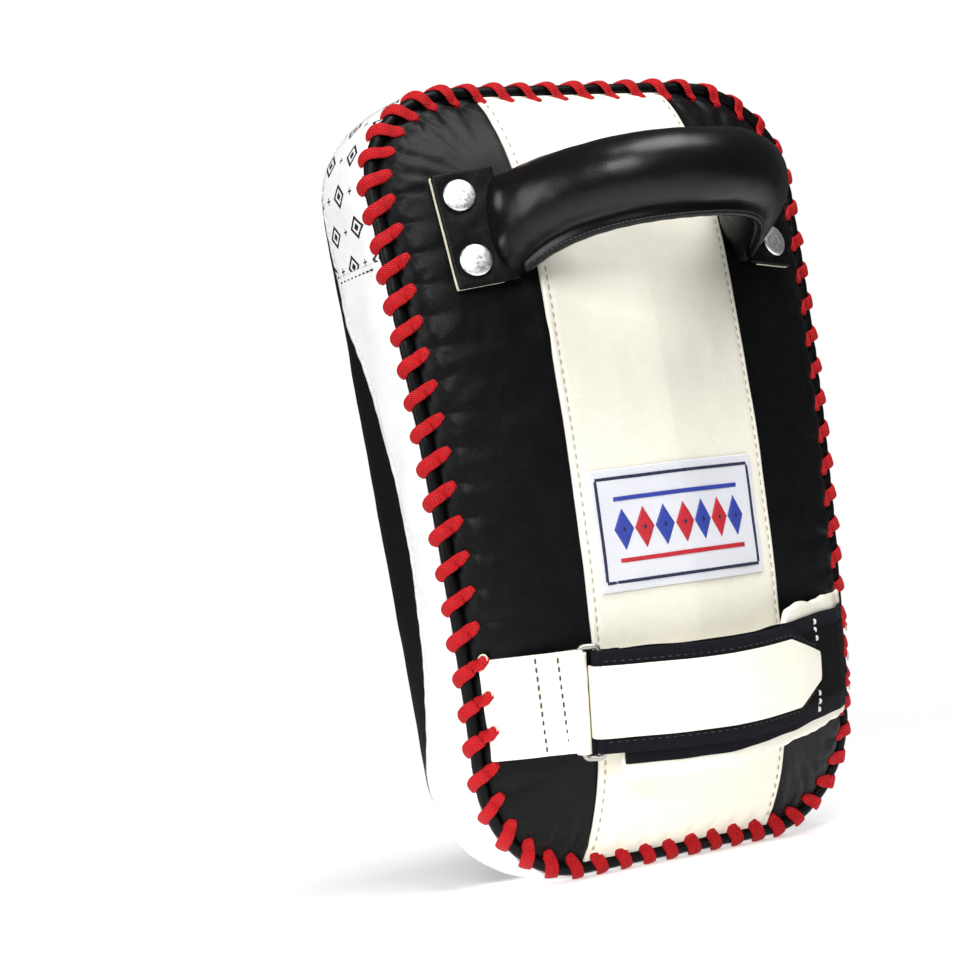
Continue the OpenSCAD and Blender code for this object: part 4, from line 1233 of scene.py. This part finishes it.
def flap():
    """The free end: webbing from the ring's outer side, a leather facing, hook tape and its sewing."""
    start = from_strap(*around_bar(100, TURN_R + WEB_T / 2), 0.0)
    end = from_strap(*strap_xy(FLAP_X0 + 3.5, FLAP_OFF + WEB_T / 2), 0.0)
    x, z = flap_grid(FLAP_X0 + 1.2, 52.7, 0.5)
    p, n = strap_layer(x, z, FLAP_OFF + WEB_T / 2 + flap_wave(x, z))
    p, n, uv = round_bar(p, n, x, z, TURN_R + WEB_T / 2 + 0.25, np.linspace(118, 84, 7))
    web = soft_plate("flap_web", p, n, WEB_T, 0.4, uv, None)
    finish_piece(web, "black_tape", "flap_webbing")
    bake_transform(web)

    tip = 51.2
    v, x = grid(np.linspace(-1, 1, 44), np.linspace(FLAP_X0 + 1.2, tip, 130))
    top, low = cut_off(x, 32.0, tip, 14.5, 6.0), -cut_off(x, 36.0, tip, 14.0, 5.6)
    z = (top + low) / 2 + (top - low) / 2 * v
    edge = (1 - np.abs(v)) * 13
    puff = 0.45 * smooth(edge / 4) + 0.2 * waves(pair(x, z), 26, 113)
    groove = 0.3 * np.exp(-(((edge - 2.0) / 0.7) ** 2))
    p, n = strap_layer(x, z, FLAP_OFF + WEB_T + 0.75 + flap_wave(x, z) + 0.5 * (puff - groove))
    p, n, uv = round_bar(p, n, x, z, TURN_R + WEB_T + 0.85, np.linspace(205, 88, 18))
    face = soft_plate("flap_face", p, n, 1.3, 0.5, uv, None)
    finish_piece(face, "cream_leather", "flap_facing")
    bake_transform(face)

    x, z = flap_grid(FLAP_X0 + 12.5, 52.2, 1.4)
    p, n = strap_layer(x, z, FLAP_OFF - 0.65)
    hook = soft_plate("flap_hooks", p, n, 0.7, 0.3, pair(x, z), "flap")
    finish_piece(hook, "loop_tape", "flap_hook_tape", slot="black_tape")

    threads, off = Parts(), FLAP_OFF + WEB_T + 0.05
    for x in np.arange(FLAP_X0 + 4.0, 50.5, 2.9):
        for sign, first, full, least in ((1, 32.0, 16.6, 8.4), (-1, 36.0, 16.0, 8.0)):
            z = cut_off(x, first, 52.0, full, least)
            slope = (full - least) / (52.0 - first) * (x > first)
            at, normal = strap_layer(x, sign * z, off)
            ahead, _ = strap_layer(x + 1, sign * (z - slope), off)
            stitch(threads, at, unit(ahead - at), normal, 1.9, 0.55, 0.12)
    finish_piece(threads.build("flap_thread", "flap"), "black_thread", "flap_stitching", slot="light_thread")


def ring():
    """The rectangular wire ring, with rounded corners."""
    half, reach, r = RING_PITCH / 2, STRAP_H / 2 + 0.5 + WIRE_D / 2, 2.2
    line = np.array([(half + i * (half - r) + r * math.cos(a), j * (reach - r) + r * math.sin(a))
                     for i, j, a0 in ((1, 1, 0), (-1, 1, 90), (-1, -1, 180), (1, -1, 270))
                     for a in np.radians(a0 + 15 * np.arange(7))])
    ahead = unit(np.roll(line, -1, 0) - np.roll(line, 1, 0))
    rings = []
    for (w, z), (along, rise) in zip(line, ahead):
        row = []
        for a in circle(18):
            c, q = math.cos(a) * WIRE_D / 2, math.sin(a) * WIRE_D / 2
            xy = LEFT_BAR + RING_WAY * (w + rise * c) + RING_NORMAL * q
            row.append(from_strap(xy[0], xy[1], z - along * c))
        rings.append(row)
    ob = new_object("ring_wire", *sweep(rings, closed=True), body="ring")
    finish_piece(ob, "steel_wire", "strap_ring")


# ---------------------------------------------------------------- build

back_panel(1, "right", 3)
back_panel(-1, "left", 13)
for make in (centre_strip, strip_stitching, welt, lace, lace_holes, bands, strike_cover, grip_roll,
             grip_flange, grip_ends, label, anchor, cuff, strap_leg, flap, ring):
    make()

# ---------------------------------------------------------------- stage, lights and camera


def floor():
    """A pale round floor that fades into the backdrop."""
    bpy.ops.mesh.primitive_circle_add(vertices=96, radius=2.2, fill_type="NGON")
    ob = bpy.context.object
    ob.name = "floor"
    tree, shader, where = principled("floor_paper", (0.95, 0.95, 0.95), 0.6,
                                     Emission_Color=(1, 1, 1, 1), Emission_Strength=0.35)
    far = ramp(tree, node(tree, "VectorMath", {0: where}, operation="LENGTH").outputs["Value"], 0.2, 0.8)
    clear = node(tree, "BsdfTransparent").outputs[0]
    blend = node(tree, "MixShader", {0: far, 1: shader.outputs[0], 2: clear})
    tree.links.new(blend.outputs[0], tree.nodes["Material Output"].inputs["Surface"])
    ob.data.materials.append(MATS["floor_paper"])


def light(name, place, size, power):
    """A rectangular lamp that faces the middle of the pad."""
    data = bpy.data.lights.new(name, "AREA")
    data.shape, data.size, data.size_y, data.energy = "RECTANGLE", size[0], size[1], power
    ob = bpy.data.objects.new(name, data)
    bpy.context.collection.objects.link(ob)
    ob.location = place
    ob.rotation_euler = (Vector((0.0, 0.0, 0.17)) - Vector(place)).to_track_quat("-Z", "Y").to_euler()


def world(seen, given):
    """A white backdrop for the camera, and a dimmer even light for the object."""
    made = bpy.data.worlds.new("studio")
    made.use_nodes = True
    tree = made.node_tree
    lit = tree.nodes["Background"]
    lit.inputs["Color"].default_value = (1, 1, 1, 1)
    lit.inputs["Strength"].default_value = given
    plain = node(tree, "Background", {"Color": (1, 1, 1, 1), "Strength": seen})
    seen_ray = node(tree, "LightPath").outputs["Is Camera Ray"]
    blend = node(tree, "MixShader", {0: seen_ray, 1: lit.outputs[0], 2: plain.outputs[0]})
    tree.links.new(blend.outputs[0], tree.nodes["World Output"].inputs["Surface"])
    bpy.context.scene.world = made


def camera():
    """The view: from the left, a little below the middle, rolled by 8 degrees."""
    turn, tilt, roll = math.radians(28.4), math.radians(-2.93), math.radians(-8.11)
    back = Vector((-math.sin(turn) * math.cos(tilt), -math.cos(turn) * math.cos(tilt), math.sin(tilt)))
    right = (-back).cross(Vector((0, 0, 1))).normalized()
    up = right.cross(-back)
    across = right * math.cos(roll) + up * math.sin(roll)
    upward = up * math.cos(roll) - right * math.sin(roll)
    data = bpy.data.cameras.new("camera")
    data.lens, data.sensor_width = 90.0, 36.0
    ob = bpy.data.objects.new("camera", data)
    bpy.context.collection.objects.link(ob)
    turned = Matrix((across, upward, back)).transposed().to_4x4()
    ob.matrix_world = Matrix.Translation(in_frame((-542.2, -876.0, -49.9))) @ turned
    bpy.context.scene.camera = ob


floor()
light("key", (-1.2, -1.4, 1.05), (0.9, 0.8), 27)
light("top", (0.1, -0.75, 1.8), (1.2, 0.9), 34)
light("left", (-2.0, 0.3, 0.5), (0.9, 1.2), 19)
world(1.0, 0.09)
camera()
bpy.context.scene.view_settings.view_transform = "Standard"
